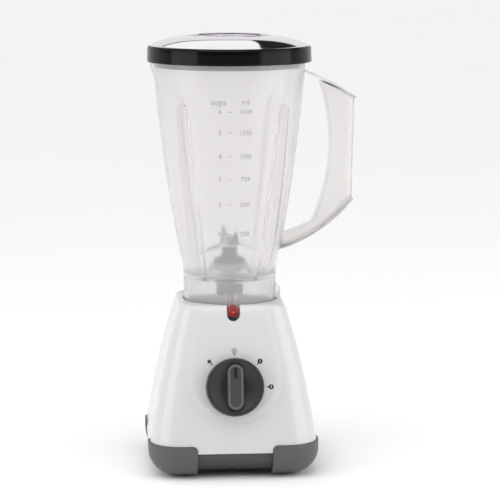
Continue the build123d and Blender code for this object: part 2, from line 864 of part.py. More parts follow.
blade_carrier = turned([(r, jar_z + z) for r, z in (
    (5.0, 35.0), (carrier_body, 35.0), (carrier_body, boss_z + 1.0), (15.5, boss_z + 1.0),
    (15.5, 49.4), (13.5, 51.0), (8.6, 52.4), (7.4, 55.0), (7.4, carrier_top - 0.8),
    (6.6, carrier_top), (5.0, carrier_top),
)])
save(blade_carrier, "blade_carrier")

carrier_gasket = ring(carrier_body, 15.0, jar_z + boss_z, jar_z + boss_z + 1.0)
save(carrier_gasket, "carrier_gasket")

with BuildPart() as carrier_nut:
    with BuildSketch(Plane.XY.offset(jar_z + 38)):
        RegularPolygon(radius=13.8, side_count=8)
        Circle(carrier_body, mode=Mode.SUBTRACT)
    extrude(amount=boss_z - 3 - 38)
save(carrier_nut, "carrier_nut")

lower_bush = ring(spindle_radius + running_gap, 5.0, jar_z + 35, jar_z + 42)
save(lower_bush, "lower_bush")

upper_bush = ring(spindle_radius + running_gap, 5.0, jar_z + 50, jar_z + 57)
save(upper_bush, "upper_bush")

spindle_seal = ring(spindle_radius + running_gap, 5.0, jar_z + 58, jar_z + carrier_top)
save(spindle_seal, "spindle_seal")

blade_thickness = 1.6
blade_low = 62.6
droop_reach = 30.0
droop_tip = 55.0
rise_tip = 81.5

blade_spindle = turned([
    (0, star_high + 1), (spindle_radius, star_high + 1),
    (spindle_radius, jar_z + 70.5), (0, jar_z + 70.5),
])
save(blade_spindle, "blade_spindle")


def blade(level, bend_radius, tip_radius, tip_rise, turn, root_width):
    """A pressed two-armed blade: flat hub, arms bent up or down from bend_radius to pointed tips."""
    with BuildPart(mode=Mode.PRIVATE) as piece:
        with BuildSketch(Plane.XZ):
            with BuildLine():
                Polyline(
                    (-tip_radius, level + tip_rise), (-bend_radius, level), (bend_radius, level),
                    (tip_radius, level + tip_rise), (tip_radius, level + tip_rise + blade_thickness),
                    (bend_radius, level + blade_thickness), (-bend_radius, level + blade_thickness),
                    (-tip_radius, level + tip_rise + blade_thickness), close=True,
                )
            make_face()
        extrude(amount=root_width, both=True)
        with BuildSketch(Plane.XY.offset(level - 30)):
            with BuildLine():
                Polyline(
                    (-tip_radius, root_width * 0.35), (-bend_radius, root_width / 2),
                    (bend_radius, root_width / 2), (tip_radius, -root_width * 0.35),
                    (bend_radius, -root_width / 2), (-bend_radius, -root_width / 2), close=True,
                )
            make_face()
        extrude(amount=60, mode=Mode.INTERSECT)
        with BuildSketch(Plane.XY.offset(level)):
            Circle(7.5)
        extrude(amount=blade_thickness)
        with BuildSketch(Plane.XY.offset(level - 1)):
            Circle(spindle_radius)
        extrude(amount=blade_thickness + 2, mode=Mode.SUBTRACT)
    with BuildPart(mode=Mode.PRIVATE) as placed:
        with Locations(Rotation(0, 0, turn)):
            add(piece.part)
    return placed


lower_blade = blade(jar_z + blade_low, 12, droop_reach, droop_tip - blade_low, 25, 13)
save(lower_blade, "lower_blade")

upper_blade = blade(
    jar_z + blade_low + blade_thickness, 9, 24, rise_tip - blade_low - 2 * blade_thickness, -68, 12
)
save(upper_blade, "upper_blade")

washer_low = blade_low + 2 * blade_thickness
blade_washer = ring(spindle_radius, 6.0, jar_z + washer_low, jar_z + washer_low + 0.8)
save(blade_washer, "blade_washer")

with BuildPart() as blade_nut:
    with BuildSketch(Plane.XY.offset(jar_z + washer_low + 0.8)):
        RegularPolygon(radius=5.6, side_count=6)
    extrude(amount=5.4)
    fillet(blade_nut.faces().sort_by(Axis.Z)[-1].edges(), radius=1.2)
    with BuildSketch(Plane.XY.offset(jar_z + washer_low + 0.8)):
        Circle(spindle_radius)
    extrude(amount=70.5 - washer_low - 0.8, mode=Mode.SUBTRACT)
save(blade_nut, "blade_nut")

with BuildPart() as drive_coupling:
    with BuildSketch(Plane.XY.offset(coupling_low)):
        Circle(coupling_outer)
        Circle(10.6, mode=Mode.SUBTRACT)
        with PolarLocations(9.9, teeth, start_angle=30):
            Rectangle(4.2, 3.4)
    extrude(amount=star_high - coupling_low + 0.6)
    with BuildSketch(Plane.XY.offset(star_high + 0.6)):
        Circle(coupling_outer)
    extrude(amount=jar_z + 30 - star_high - 0.6)
    with BuildSketch(Plane.XY.offset(jar_z + 30)):
        Circle(6.0)
    extrude(amount=3)
    with BuildSketch(Plane.XY.offset(star_high)):
        Circle(spindle_radius)
    extrude(amount=20, mode=Mode.SUBTRACT)
    # notches in the lower edge
    with BuildSketch(Plane.XY.offset(coupling_low - 1)):
        with PolarLocations(12, teeth):
            Rectangle(5, 4)
    extrude(amount=4, mode=Mode.SUBTRACT)
save(drive_coupling, "drive_coupling")

# ---- Lid ----------------------------------------------------------------------------------------------

collar_inner = 38.6
collar_outer = 41.2
dome_edge = 77.6
dome_z = jar_z + lid_high

lid_body = turned([(r, jar_z + z) for r, z in (
    (skirt_inner, lid_low), (lid_low_radius, lid_low), (lid_high_radius, lid_high - 1.2),
    (dome_edge, lid_high), (74.0, lid_high), (74.0, lid_high - 1.5), (collar_outer, lid_high - 1.5),
    (collar_outer, lid_high + 7.2), (collar_inner, lid_high + 7.2), (collar_inner, 238.0),
    (collar_outer, 238.0), (collar_outer, 252.6), (67.0, 252.6), (66.0, plug_low),
    (68.4, plug_low), (69.0, 242.9), (67.6, 242.9), (67.6, 247.1), (69.4, 247.1), (69.7, 252.6),
    (skirt_inner, 252.6),
)])
save(lid_body, "lid_body")

lid_gasket = ring(67.6, 70.5, jar_z + 243.0, jar_z + 247.0)
save(lid_gasket, "lid_gasket")

with BuildPart() as lid_chrome_cover:
    with BuildSketch(Plane.XZ):
        with BuildLine():
            outer_arc = ThreePointArc(
                (dome_edge - 0.2, dome_z), (60.0, dome_z + 6.6), (cap_radius + 1, dome_z + dome_rise - 1)
            )
            Line(outer_arc @ 1, (cap_radius + 1, dome_z + dome_rise - 2.4))
            inner_arc = ThreePointArc(
                (cap_radius + 1, dome_z + dome_rise - 2.4), (59.4, dome_z + 5.2), (74.4, dome_z)
            )
            Line(inner_arc @ 1, outer_arc @ 0)
        make_face()
    revolve(axis=Axis.Z)
save(lid_chrome_cover, "lid_chrome_cover")

cap_top = lid_high + dome_rise

filler_cap = turned([(r, jar_z + z) for r, z in (
    (0, cap_top), (33.0, cap_top), (36.6, cap_top - 0.8), (cap_radius, cap_top - 2.0),
    (cap_radius, cap_top - 3.0), (36.6, cap_top - 3.6), (36.2, 241.0), (34.0, 241.0),
    (34.2, cap_top - 3.4), (0, cap_top - 3.4),
)])
save(filler_cap, "filler_cap")
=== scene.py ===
import json
import math

import bmesh
import bpy
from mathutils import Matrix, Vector


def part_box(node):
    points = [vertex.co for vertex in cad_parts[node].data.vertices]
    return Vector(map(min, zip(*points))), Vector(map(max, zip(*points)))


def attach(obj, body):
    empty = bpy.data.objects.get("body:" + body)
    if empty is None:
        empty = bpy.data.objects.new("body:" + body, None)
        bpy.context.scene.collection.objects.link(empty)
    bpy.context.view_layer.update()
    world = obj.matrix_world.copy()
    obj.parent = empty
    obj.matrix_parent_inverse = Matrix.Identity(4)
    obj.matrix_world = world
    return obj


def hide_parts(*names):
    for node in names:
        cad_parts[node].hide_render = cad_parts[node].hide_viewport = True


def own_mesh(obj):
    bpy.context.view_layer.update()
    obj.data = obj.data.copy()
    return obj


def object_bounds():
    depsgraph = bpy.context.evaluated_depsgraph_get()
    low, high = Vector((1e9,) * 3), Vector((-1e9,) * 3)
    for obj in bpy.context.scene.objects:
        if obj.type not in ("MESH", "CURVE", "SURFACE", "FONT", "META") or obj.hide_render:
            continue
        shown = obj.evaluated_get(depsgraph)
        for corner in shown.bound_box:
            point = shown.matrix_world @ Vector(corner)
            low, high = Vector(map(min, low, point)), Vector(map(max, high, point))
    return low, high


# The looks of a countertop blender: frosted jar with handle and spout, blades, chrome-topped lid with a
# clear filler cap, and a white motor base with a dial. Shapes are worked out in millimetres, in the frame
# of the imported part: Z is the drive axis, the dial faces -Y and the handle +X.

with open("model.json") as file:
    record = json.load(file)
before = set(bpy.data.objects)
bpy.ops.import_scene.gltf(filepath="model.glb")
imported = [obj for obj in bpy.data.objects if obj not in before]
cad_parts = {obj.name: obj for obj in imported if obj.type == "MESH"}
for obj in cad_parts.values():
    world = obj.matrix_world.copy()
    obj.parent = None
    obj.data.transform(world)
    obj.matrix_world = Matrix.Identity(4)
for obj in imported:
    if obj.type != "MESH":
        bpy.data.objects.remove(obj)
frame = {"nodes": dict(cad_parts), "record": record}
cad_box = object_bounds()
METRE = 1000.0


def span(node):
    """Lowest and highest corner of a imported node, in millimetres."""
    low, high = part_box(node)
    return low * METRE, high * METRE


# ---- Driving sizes ----

housing_high = span("motor_housing")[1]
deck_z = housing_high.z
skirt_z = 26.5
skirt_half = housing_high.x
deck_half = 50.5
housing_bow = 3.0
deck_corner = 18.0
skirt_corner = 30.0
housing_wall = 2.5
deck_thickness = 3.0
deck_roll = 3.0
seat_radius = 45.5
seat_z = deck_z - 12.0
panel_rise = 1.0

shoe_low, shoe_high = span("front_right_shoe")
shoe_reach = shoe_low.x
shoe_top = shoe_high.z

jar_z = span("jar_body")[0].z
jar_wall = 2.5
rim_z = span("jar_body")[1].z - jar_z
floor_z = 36.0
boss_z = 47.0

slope = math.atan((skirt_half - deck_half) / (deck_z - skirt_z))
knob_z = 88.8
knob_back = panel_rise + 0.8
knob_radius = 27.8
knob_rim = knob_back + 8.5
knob_dish = knob_back + 4.0
bar_top = knob_back + 12.5
bar_half_width = 7.75
bar_half_length = 21.8

cap_top = span("filler_cap")[1].z - jar_z


# ---- Materials ----

class Signal:
    """A value inside a node tree. Sums of signals and numbers add their Math nodes."""

    def __init__(self, graph, socket):
        self.graph = graph
        self.socket = socket

    def maths(self, operation, *values):
        return self.graph.node("ShaderNodeMath", {"operation": operation}, dict(enumerate(values)))

    def __add__(self, other):
        return self.maths("ADD", self, other)

    __radd__ = __add__

    def __sub__(self, other):
        return self.maths("SUBTRACT", self, other)

    def __rsub__(self, other):
        return self.maths("SUBTRACT", other, self)

    def __mul__(self, other):
        return self.maths("MULTIPLY", self, other)

    __rmul__ = __mul__

    def __truediv__(self, other):
        return self.maths("DIVIDE", self, other)

    def step(self, edge):
        return self.maths("GREATER_THAN", self, edge)


class Graph:
    """A node tree, and the ways to add nodes to it."""

    def __init__(self, tree):
        self.tree = tree

    def put(self, value, socket):
        """Links a signal to a socket, or sets a number or colour on it."""
        if isinstance(value, Signal):
            self.tree.links.new(value.socket, socket)
        else:
            socket.default_value = value

    def node(self, kind, settings, inputs, output=0):
        """A node of that kind: its settings first, then the values or links of its sockets."""
        made = self.tree.nodes.new(kind)
        for word, value in settings.items():
            setattr(made, word, value)
        for socket, value in inputs.items():
            self.put(value, made.inputs[socket])
        return Signal(self, made.outputs[output])

    def ramp(self, value, low, high, start, end):
        """Maps a signal from the range low-high to the range start-end, held at the ends."""
        return self.node("ShaderNodeMapRange", {"clamp": True}, {
            "Value": value, "From Min": low, "From Max": high, "To Min": start, "To Max": end,
        })


class Paint(Graph):
    """One material: a shader with constants set on its own sockets, fed by noise, bands and masks."""

    def __init__(self, name, **constants):
        self.material = bpy.data.materials.new(name)
        self.material.use_nodes = True
        super().__init__(self.material.node_tree)
        self.shader = self.tree.nodes["Principled BSDF"]
        for word, value in constants.items():
            self.shader.inputs[word.replace("_", " ").title().replace("Ior", "IOR")].default_value = value

    def place(self):
        """Where a point of the surface is, in metres in the part's frame."""
        return self.node("ShaderNodeTexCoord", {}, {}, output="Object")

    def stretched(self, stretch):
        return self.node("ShaderNodeVectorMath", {"operation": "MULTIPLY"}, {0: self.place(), 1: stretch})

    def cloud(self, size, detail=3.0, stretch=(1, 1, 1), rough=0.5):
        """Noise from 0 to 1 with lumps of about that many millimetres."""
        return self.node("ShaderNodeTexNoise", {}, {
            "Vector": self.stretched(stretch), "Scale": METRE / size, "Detail": detail, "Roughness": rough,
        })

    def mixed(self, factor, first, second):
        return self.node("ShaderNodeMix", {"data_type": "RGBA"}, {0: factor, 6: first, 7: second}, output=2)

    def height(self, part):
        """One coordinate of the place, in millimetres: "X", "Y" or "Z"."""
        return self.node("ShaderNodeSeparateXYZ", {}, {0: self.place()}, output=part) * METRE

    def tint(self, factor, first, second):
        """Colours the surface between two colours."""
        self.put(self.mixed(factor, first, second), self.shader.inputs["Base Color"])

    def roughness(self, value):
        self.put(value, self.shader.inputs["Roughness"])

    def gloss(self, noise, low, high):
        """Roughness that follows a noise."""
        self.roughness(self.ramp(noise, 0.3, 0.7, low, high))

    def relief(self, value, depth):
        """Bumps of that depth in millimetres."""
        bump = self.node("ShaderNodeBump", {}, {
            "Height": value, "Distance": depth / METRE, "Strength": 1.0,
        })
        self.put(bump, self.shader.inputs["Normal"])
        return self


def shade(colour, amount):
    """The same colour, lighter or darker by that share."""
    return (*[min(1.0, part * amount) for part in colour[:3]], 1.0)


def moulded(name, colour, rough, spread=0.06, grain=0.6, depth=0.012, cloud_size=30.0, **constants):
    """Moulded plastic: faint colour drift, uneven gloss and a fine skin texture."""
    paint = Paint(name, **constants)
    drift = paint.cloud(cloud_size, detail=2.0)
    skin = paint.cloud(grain, detail=2.0)
    paint.tint(drift, shade(colour, 1 - spread), shade(colour, 1 + spread))
    paint.gloss(paint.cloud(7.0), rough * 0.88, rough * 1.12)
    return paint.relief(skin, depth)


def turned_metal(name, colour, rough, stretch=(1, 1, 14), depth=0.006, **constants):
    """Machined or ground metal: fine scratches drawn out along one way."""
    paint = Paint(name, metallic=1.0, **constants)
    scratches = paint.cloud(3.0, detail=6.0, stretch=stretch, rough=0.7)
    paint.tint(paint.cloud(12.0), shade(colour, 0.9), shade(colour, 1.06))
    paint.gloss(scratches, rough * 0.75, rough * 1.3)
    return paint.relief(scratches, depth)


def tray_plastic_painted_shade():
    """Dark grey with painted shade: near black at its foot, where shade falls under the base."""
    paint = Paint("tray_plastic_painted_shade")
    # Painted shade: the colour ramps from near black at the foot up to dark grey 24 mm higher.
    paint.tint(paint.ramp(paint.height("Z"), 4.0, 24.0, 0.0, 1.0), (0.012, 0.012, 0.013, 1),
                             (0.07, 0.071, 0.074, 1))
    paint.gloss(paint.cloud(7.0), 0.44, 0.56)
    return paint.relief(paint.cloud(0.5, detail=2.0), 0.03)


def rim_plastic():
    paint = Paint("black_gloss", specular_ior_level=0.14)
    paint.tint(paint.cloud(20.0), (0.0022, 0.0022, 0.0024, 1), (0.0034, 0.0034, 0.0036, 1))
    paint.gloss(paint.cloud(9.0), 0.10, 0.15)
    return paint.relief(paint.cloud(6.0), 0.006)


def knob_plastic_painted_shade():
    """Dark grey, with painted shade deepening it to near black in the hollow around the bar."""
    paint = Paint("dark_knob")
    across = paint.height("X")
    along = (paint.height("Z") - knob_z - knob_dish * math.sin(slope)).maths("ABSOLUTE") / math.cos(slope)
    past_end = (along - bar_half_length + bar_half_width).maths("MAXIMUM", 0.0)
    from_bar = (across * across + past_end * past_end).maths("SQRT") - bar_half_width
    # Painted shade: the base colour darkens towards the bar, standing in for shade in the dish.
    paint.tint(paint.ramp(from_bar, 0.5, 15.0, 0.0, 1.0), (0.022, 0.0225, 0.024, 1),
                             (0.066, 0.067, 0.07, 1))
    paint.gloss(paint.cloud(7.0), 0.35, 0.45)
    return paint.relief(paint.cloud(0.45, detail=2.0), 0.02)


def frosted():
    """Milky polypropylene: light passes through it softly, and its skin is slightly uneven."""
    paint = Paint("jar_plastic", transmission_weight=0.77, ior=1.30, specular_ior_level=0.5)
    streaks = paint.cloud(40.0, detail=3.0, stretch=(1, 1, 0.35))
    paint.tint(streaks, (0.978, 0.966, 0.960, 1), (0.996, 0.988, 0.984, 1))
    paint.gloss(paint.cloud(5.0, detail=4.0), 0.14, 0.19)
    return paint.relief(paint.cloud(12.0, detail=1.0), 0.008)


def clear_lilac():
    paint = Paint("cap_plastic", transmission_weight=0.92, ior=1.45)
    paint.tint(paint.cloud(25.0), (0.86, 0.80, 0.95, 1), (0.93, 0.88, 0.985, 1))
    paint.gloss(paint.cloud(8.0), 0.04, 0.09)
    return paint.relief(paint.cloud(5.0), 0.006)


def chrome():
    """Polished plating with faint smears and a slight waviness."""
    paint = Paint("chrome_plate", metallic=1.0)
    smear = paint.cloud(16.0, detail=5.0, stretch=(1, 2.2, 1))
    paint.tint(smear, (0.80, 0.79, 0.80, 1), (0.88, 0.87, 0.88, 1))
    paint.roughness(paint.ramp(smear, 0.35, 0.75, 0.03, 0.085))
    return paint.relief(paint.cloud(22.0, detail=1.0), 0.01)


def laminations():
    """Stacked sheets: dark and light bands by height."""
    paint = Paint("lamination_steel", metallic=0.85)
    sheets = paint.node("ShaderNodeTexWave", {"bands_direction": "Z"}, {
        "Vector": paint.place(), "Scale": METRE / 9.0, "Distortion": 0.4, "Detail": 2.0,
    })
    rust = paint.cloud(9.0, detail=5.0).step(0.58)
    body = paint.mixed(sheets, (0.10, 0.105, 0.11, 1), (0.25, 0.26, 0.27, 1))
    paint.tint(rust * 0.25, body, (0.16, 0.10, 0.07, 1))
    paint.roughness(paint.ramp(sheets, 0.0, 1.0, 0.6, 0.38))
    return paint.relief(sheets, 0.08)


def enamelled_wire():
    """Windings of round wire, side by side."""
    paint = Paint("copper_wire", metallic=0.9, coat_weight=0.4, coat_roughness=0.1)
    strands = paint.node("ShaderNodeTexWave", {"bands_direction": "DIAGONAL"}, {
        "Vector": paint.place(), "Scale": METRE / 8.0, "Distortion": 1.6, "Detail": 3.0,
    })
    paint.tint(strands, (0.22, 0.07, 0.03, 1), (0.62, 0.27, 0.12, 1))
    paint.roughness(paint.ramp(strands, 0.0, 1.0, 0.45, 0.25))
    return paint.relief(strands, 0.2)


def die_cast():
    paint = Paint("cast_alloy", metallic=1.0)
    skin = paint.cloud(0.9, detail=4.0)
    paint.tint(paint.cloud(14.0), (0.38, 0.385, 0.39, 1), (0.5, 0.5, 0.51, 1))
    paint.gloss(skin, 0.42, 0.6)
    return paint.relief(skin, 0.06)


def print_ink(name, colour, rough=0.55):
    """Pad-printed ink, a little patchy."""
    return moulded(name, colour, rough, spread=0.1, grain=0.5, depth=0.004, cloud_size=4.0)


finishes = {
    "white_gloss": moulded(
        "white_gloss", (0.63, 0.635, 0.645), 0.24, spread=0.008, grain=2.4, depth=0.004,
        specular_ior_level=0.45, coat_weight=0.25, coat_roughness=0.12
    ),
    "dark_shoe": moulded("dark_shoe", (0.085, 0.086, 0.09), 0.46, grain=0.5, depth=0.03),
    "black_gloss": rim_plastic(),
    "black_inner": moulded("black_inner", (0.022, 0.022, 0.024), 0.5, grain=0.7, depth=0.03),
    "dark_knob": knob_plastic_painted_shade(),
    "knob_mark": moulded("knob_mark", (0.012, 0.012, 0.013), 0.3, grain=1.5, depth=0.006),
    "soft_rubber": moulded("soft_rubber", (0.02, 0.02, 0.021), 0.75, spread=0.15, grain=0.8, depth=0.04),
    "seal_rubber": moulded("seal_rubber", (0.045, 0.047, 0.051), 0.6, spread=0.1, grain=0.8, depth=0.03),
    "red_lock": moulded(
        "red_lock", (0.30, 0.006, 0.011), 0.2, grain=1.6, depth=0.006, coat_weight=0.3, coat_roughness=0.08
    ),
    "jar_plastic": frosted(),
    "cap_plastic": clear_lilac(),
    "blade_steel": turned_metal("blade_steel", (0.50, 0.53, 0.58), 0.24, stretch=(2, 9, 2)),
    "plain_steel": turned_metal("plain_steel", (0.46, 0.47, 0.48), 0.34),
    "lamination_steel": laminations(),
    "chrome_plate": chrome(),
    "copper_wire": enamelled_wire(),
    "cast_alloy": die_cast(),
    "brass_metal": turned_metal("brass_metal", (0.62, 0.43, 0.16), 0.3, stretch=(6, 1, 1)),
    "carbon_block": moulded(
        "carbon_block", (0.018, 0.018, 0.019), 0.7, spread=0.25, grain=0.35, depth=0.03
    ),
}
# Painted highlight: the raised outline ridge gets a lighter grey than the bar, standing in for light caught
# on the ridge.
outline_painted_highlight = moulded("knob_outline", (0.105, 0.108, 0.112), 0.36, grain=0.5, depth=0.01)
bar_paint = moulded("knob_bar_plastic", (0.052, 0.053, 0.056), 0.4, grain=0.45, depth=0.02)
scale_ink = print_ink("scale_ink", (0.43, 0.42, 0.42))
dial_ink = print_ink("dial_ink", (0.012, 0.012, 0.013), 0.4)
white_ink = print_ink("white_ink", (0.8, 0.8, 0.8), 0.4)
icon_ink = print_ink("icon_ink", (0.16, 0.004, 0.006), 0.4)
latch_spot_ink = print_ink("latch_spot_ink", (0.75, 0.5, 0.12), 0.4)

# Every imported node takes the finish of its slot
for row in frame["record"]["subparts"]:
    node = frame["nodes"][row["node"]]
    node.data.materials.clear()
    node.data.materials.append(finishes[row["material_slot"]].material)

# The tray gets painted shade, darker at its foot than its slot's other nodes
frame["nodes"]["bottom_tray"].data.materials[0] = tray_plastic_painted_shade().material


# ---- Mesh helpers ----

def piece(name, skins, body, slot=None, stands_for=(), paint=None, sharp=38.0):
    """A named mesh piece from (points, faces) skins in millimetres, which rides on a body.

    It is shaded smooth between sharp corners, and wears its slot's finish or a paint of its own.
    """
    points, faces = [], []
    for skin_points, skin_faces in skins:
        first = len(points)
        points.extend(Vector(p) / METRE for p in skin_points)
        faces.extend([first + corner for corner in face] for face in skin_faces)
    mesh = bpy.data.meshes.new(name)
    mesh.from_pydata(points, [], faces)
    reworked(mesh, lambda work: bmesh.ops.remove_doubles(work, verts=work.verts, dist=1e-7))
    mesh.shade_smooth()
    mesh.set_sharp_from_angle(angle=math.radians(sharp))
    mesh.materials.clear()
    mesh.materials.append((paint or finishes[slot]).material)
    made = placed(name, mesh)
    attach(made, body)
    if stands_for:
        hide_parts(*stands_for)
    return made


def placed(name, data):
    """A new object with that data, in the scene."""
    made = bpy.data.objects.new(name, data)
    bpy.context.scene.collection.objects.link(made)
    return made


def reworked(mesh, *steps):
    """Takes a mesh through those steps and turns its faces outwards."""
    work = bmesh.new()
    work.from_mesh(mesh)
    for step in steps:
        step(work)
    bmesh.ops.recalc_face_normals(work, faces=work.faces)
    work.to_mesh(mesh)
    work.free()


def skin(rings, looped=False):
    """A surface stretched over closed rings of equal count; a ring of one point closes an end."""
    points, starts = [], []
    for ring in rings:
        starts.append(len(points))
        points.extend(ring)
    pairs = list(zip(range(len(rings) - 1), range(1, len(rings))))
    if looped:
        pairs.append((len(rings) - 1, 0))
    faces = []
    for a, b in pairs:
        sides = max(len(rings[a]), len(rings[b]))
        for i in range(sides):
            j = (i + 1) % sides
            if len(rings[a]) == 1:
                faces.append((starts[a], starts[b] + i, starts[b] + j))
            elif len(rings[b]) == 1:
                faces.append((starts[a] + i, starts[b], starts[a] + j))
            else:
                faces.append((starts[a] + i, starts[a] + j, starts[b] + j, starts[b] + i))
    return points, faces


def capped(rings):
    """A surface stretched over closed rings, with a flat face on the first and on the last."""
    points, faces = skin(rings)
    faces.append(tuple(range(len(rings[0]))))
    faces.append(tuple(range(len(points) - len(rings[-1]), len(points))))
    return points, faces


def rounded(corners, steps=5):
    """A closed outline from (x, y) or (x, y, radius) corners, with arcs where a radius is given."""
    outline = []
    count = len(corners)
    for i, corner in enumerate(corners):
        here = Vector(corner[:2])
        radius = corner[2] if len(corner) > 2 else 0.0
        if radius == 0.0:
            outline.append(tuple(here))
            continue
        back = (Vector(corners[i - 1][:2]) - here).normalized()
        ahead = (Vector(corners[(i + 1) % count][:2]) - here).normalized()
        half_turn = math.acos(max(-1.0, min(1.0, back.dot(ahead)))) / 2
        centre = here + (back + ahead).normalized() * radius / math.sin(half_turn)
        start = here + back * radius / math.tan(half_turn) - centre
        end = here + ahead * radius / math.tan(half_turn) - centre
        sweep = math.atan2(start.x * end.y - start.y * end.x, start.dot(end))
        for step in range(steps + 1):
            turn = sweep * step / steps
            outline.append((
                centre.x + start.x * math.cos(turn) - start.y * math.sin(turn),
                centre.y + start.x * math.sin(turn) + start.y * math.cos(turn),
            ))
    return outline


def finer(outline, longest, closed=True):
    """The outline with its long edges divided."""
    dense = []
    pairs = list(zip(outline, outline[1:] + outline[:1]))
    if not closed:
        pairs = pairs[:-1]
    for a, b in pairs:
        parts = max(1, math.ceil(math.dist(a, b) / longest))
        for k in range(parts):
            dense.append((a[0] + (b[0] - a[0]) * k / parts, a[1] + (b[1] - a[1]) * k / parts))
    if not closed:
        dense.append(outline[-1])
    return dense


def circle(radius, z, count, x=0.0, y=0.0):
    turns = (2 * math.pi * i / count for i in range(count))
    return [(x + radius * math.cos(turn), y + radius * math.sin(turn), z) for turn in turns]


def polar(radius, turn, *height):
    """A point that far from the axis in the direction turn."""
    return (radius * math.cos(turn), radius * math.sin(turn), *height)


def quarter_round(radius, steps, first=0):
    """How far a rounded edge has come inwards and upwards at each of its steps."""
    for step in range(first, steps + 1):
        turn = math.pi / 2 * step / steps
        yield radius * (1 - math.cos(turn)), radius * math.sin(turn)


def lathe(section, count=144, x=0.0, y=0.0):
    """A closed solid turned about the upright axis from its closed (radius, z) section."""
    return skin([circle(radius, z, count, x, y) for radius, z in section], looped=True)


def spun(section, count=144):
    """A solid turned from a section that starts and ends on the axis."""
    rings = [[(0, 0, z)] if radius == 0 else circle(radius, z, count) for radius, z in section]
    return skin(rings)


def moved(shape, where):
    """The same skin with each point sent through where(point)."""
    points, faces = shape
    return [where(point) for point in points], faces


def slab(outline, low, high):
    """A flat plate of that (x, y) outline between two heights."""
    return capped([[(x, y, z) for x, y in outline] for z in (low, high)])


def carve(target, cutters):
    """Cuts closed shapes out of a piece."""
    for points, faces in cutters:
        mesh = bpy.data.meshes.new("cutter")
        mesh.from_pydata([Vector(p) / METRE for p in points], [], faces)
        reworked(mesh)
        cutter = placed("cutter", mesh)
        cut = target.modifiers.new("cut", "BOOLEAN")
        cut.operation = "DIFFERENCE"
        cut.solver = "EXACT"
        cut.object = cutter
        bpy.context.view_layer.update()
        shown = target.evaluated_get(bpy.context.evaluated_depsgraph_get())
        result = bpy.data.meshes.new_from_object(shown)
        target.modifiers.clear()
        target.data = result
        bpy.data.objects.remove(cutter)
    target.data.shade_smooth()
    target.data.set_sharp_from_angle(angle=math.radians(38.0))


def ease(value):
    """Smooth step from 0 to 1."""
    value = max(0.0, min(1.0, value))
    return value * value * (3 - 2 * value)


# ---- Motor housing ----

def housing_half(z):
    t = (z - skirt_z) / (deck_z - skirt_z)
    return skirt_half + (deck_half - skirt_half) * t + housing_bow * 4 * t * (1 - t)


def housing_corner(z):
    t = (z - skirt_z) / (deck_z - skirt_z)
    return skirt_corner + (deck_corner - skirt_corner) * t


def square_reach(turn, half, corner):
    """Distance from the axis to a rounded square's edge in the direction turn."""
    along, across = sorted((abs(math.cos(turn)), abs(math.sin(turn))), reverse=True)
    reach = half / along
    straight = half - corner
    if reach * across <= straight:
        return reach
    both = along + across
    return straight * both + math.sqrt(max(0.0, (straight * both) ** 2 - 2 * straight ** 2 + corner ** 2))


def shield_share(x, z):
    """How far a point of the front is inside the raised shield panel, from 0 outside to 1 inside."""
    wide = 97.0
    panel_top = 160.0
    if z >= wide:
        t = (z - wide) / (panel_top - wide)
        inside = 43.5 - 5.0 * t - 7.5 * t * t - abs(x)
    else:
        inside = (1 - math.hypot(x / 43.5, (wide - z) / 38.0)) * 38.0
    return ease(0.5 + inside / 3.2) * ease((panel_top + 1.5 - z) / 3.0)


def housing_ring(half, corner, z, shield=True, turns=288):
    ring = []
    for i in range(turns):
        turn = 2 * math.pi * (i + 0.5) / turns
        reach = square_reach(turn, half, corner)
        x, y = polar(reach, turn)
        if shield and y < 0 and abs(x) < half - corner + 12:
            y -= panel_rise * shield_share(x, z)
        ring.append((x, y, z))
    return ring


def make_housing():
    """White shell: bowed skirt, soft shield panel, rolled deck edge, seat for the jar's collar."""
    turns = 288
    rings = []
    levels = 46
    roll_start = deck_z - deck_roll
    for step in range(levels + 1):
        z = skirt_z + (roll_start - skirt_z) * step / levels
        rings.append(housing_ring(housing_half(z), housing_corner(z), z))
    for inset, rise in quarter_round(deck_roll, 6, first=1):
        z = roll_start + rise
        half, corner = housing_half(z) - inset, housing_corner(z) - inset * 0.6
        rings.append(housing_ring(half, corner, z, shield=False))
    seat_lip = 0.8
    start = 0.5 * 2 * math.pi / turns

    def disc(radius, z):
        return [polar(radius, start + 2 * math.pi * i / turns, z) for i in range(turns)]

    for step in range(5):
        turn = math.pi / 2 * step / 4
        inset, drop = seat_lip * (1 - math.sin(turn)), seat_lip * (1 - math.cos(turn))
        rings.append(disc(seat_radius + inset, deck_z - drop))
    rings += [disc(seat_radius, seat_z + 1.5), disc(seat_radius - 0.5, seat_z + 0.4),
              disc(seat_radius - 1.5, seat_z), disc(19.0, seat_z), disc(18.4, seat_z + 0.8),
              disc(14.6, seat_z + 0.8), disc(14.0, seat_z), disc(11.4, seat_z), disc(11.0, seat_z - 0.4),
              disc(11.0, seat_z - 3), disc(seat_radius + 2, seat_z - 3),
              disc(seat_radius + 2.5, deck_z - deck_thickness)]
    for z in (deck_z - deck_thickness, 130.0, 90.0, 60.0, skirt_z):
        corner = max(4.0, housing_corner(z) - housing_wall)
        rings.append(housing_ring(housing_half(z) - housing_wall, corner, z, shield=False))
    shell = piece("housing_shell", [skin(rings, looped=True)], "base", "white_gloss", ["motor_housing"])
    carve(shell, [notch_cutter()] + [shoe_cutter(turn) for turn in range(4)] + [bush_cutter()])
    return shell


notch_half = 6.3
notch_floor = 149.6


def notch_cutter():
    """Round-bottomed slot through the front of the seat wall and deck."""
    outline = [(-notch_half, deck_z + 2), (-notch_half, notch_floor + notch_half)]
    for step in range(1, 16):
        x, z = polar(notch_half, math.pi + math.pi * step / 16)
        outline.append((x, notch_floor + notch_half + z))
    outline += [(notch_half, notch_floor + notch_half), (notch_half, deck_z + 2)]
    near, far = -seat_radius + 3, -seat_radius - 13
    return capped([[(x, near, z) for x, z in outline], [(x, far, z) for x, z in outline]])


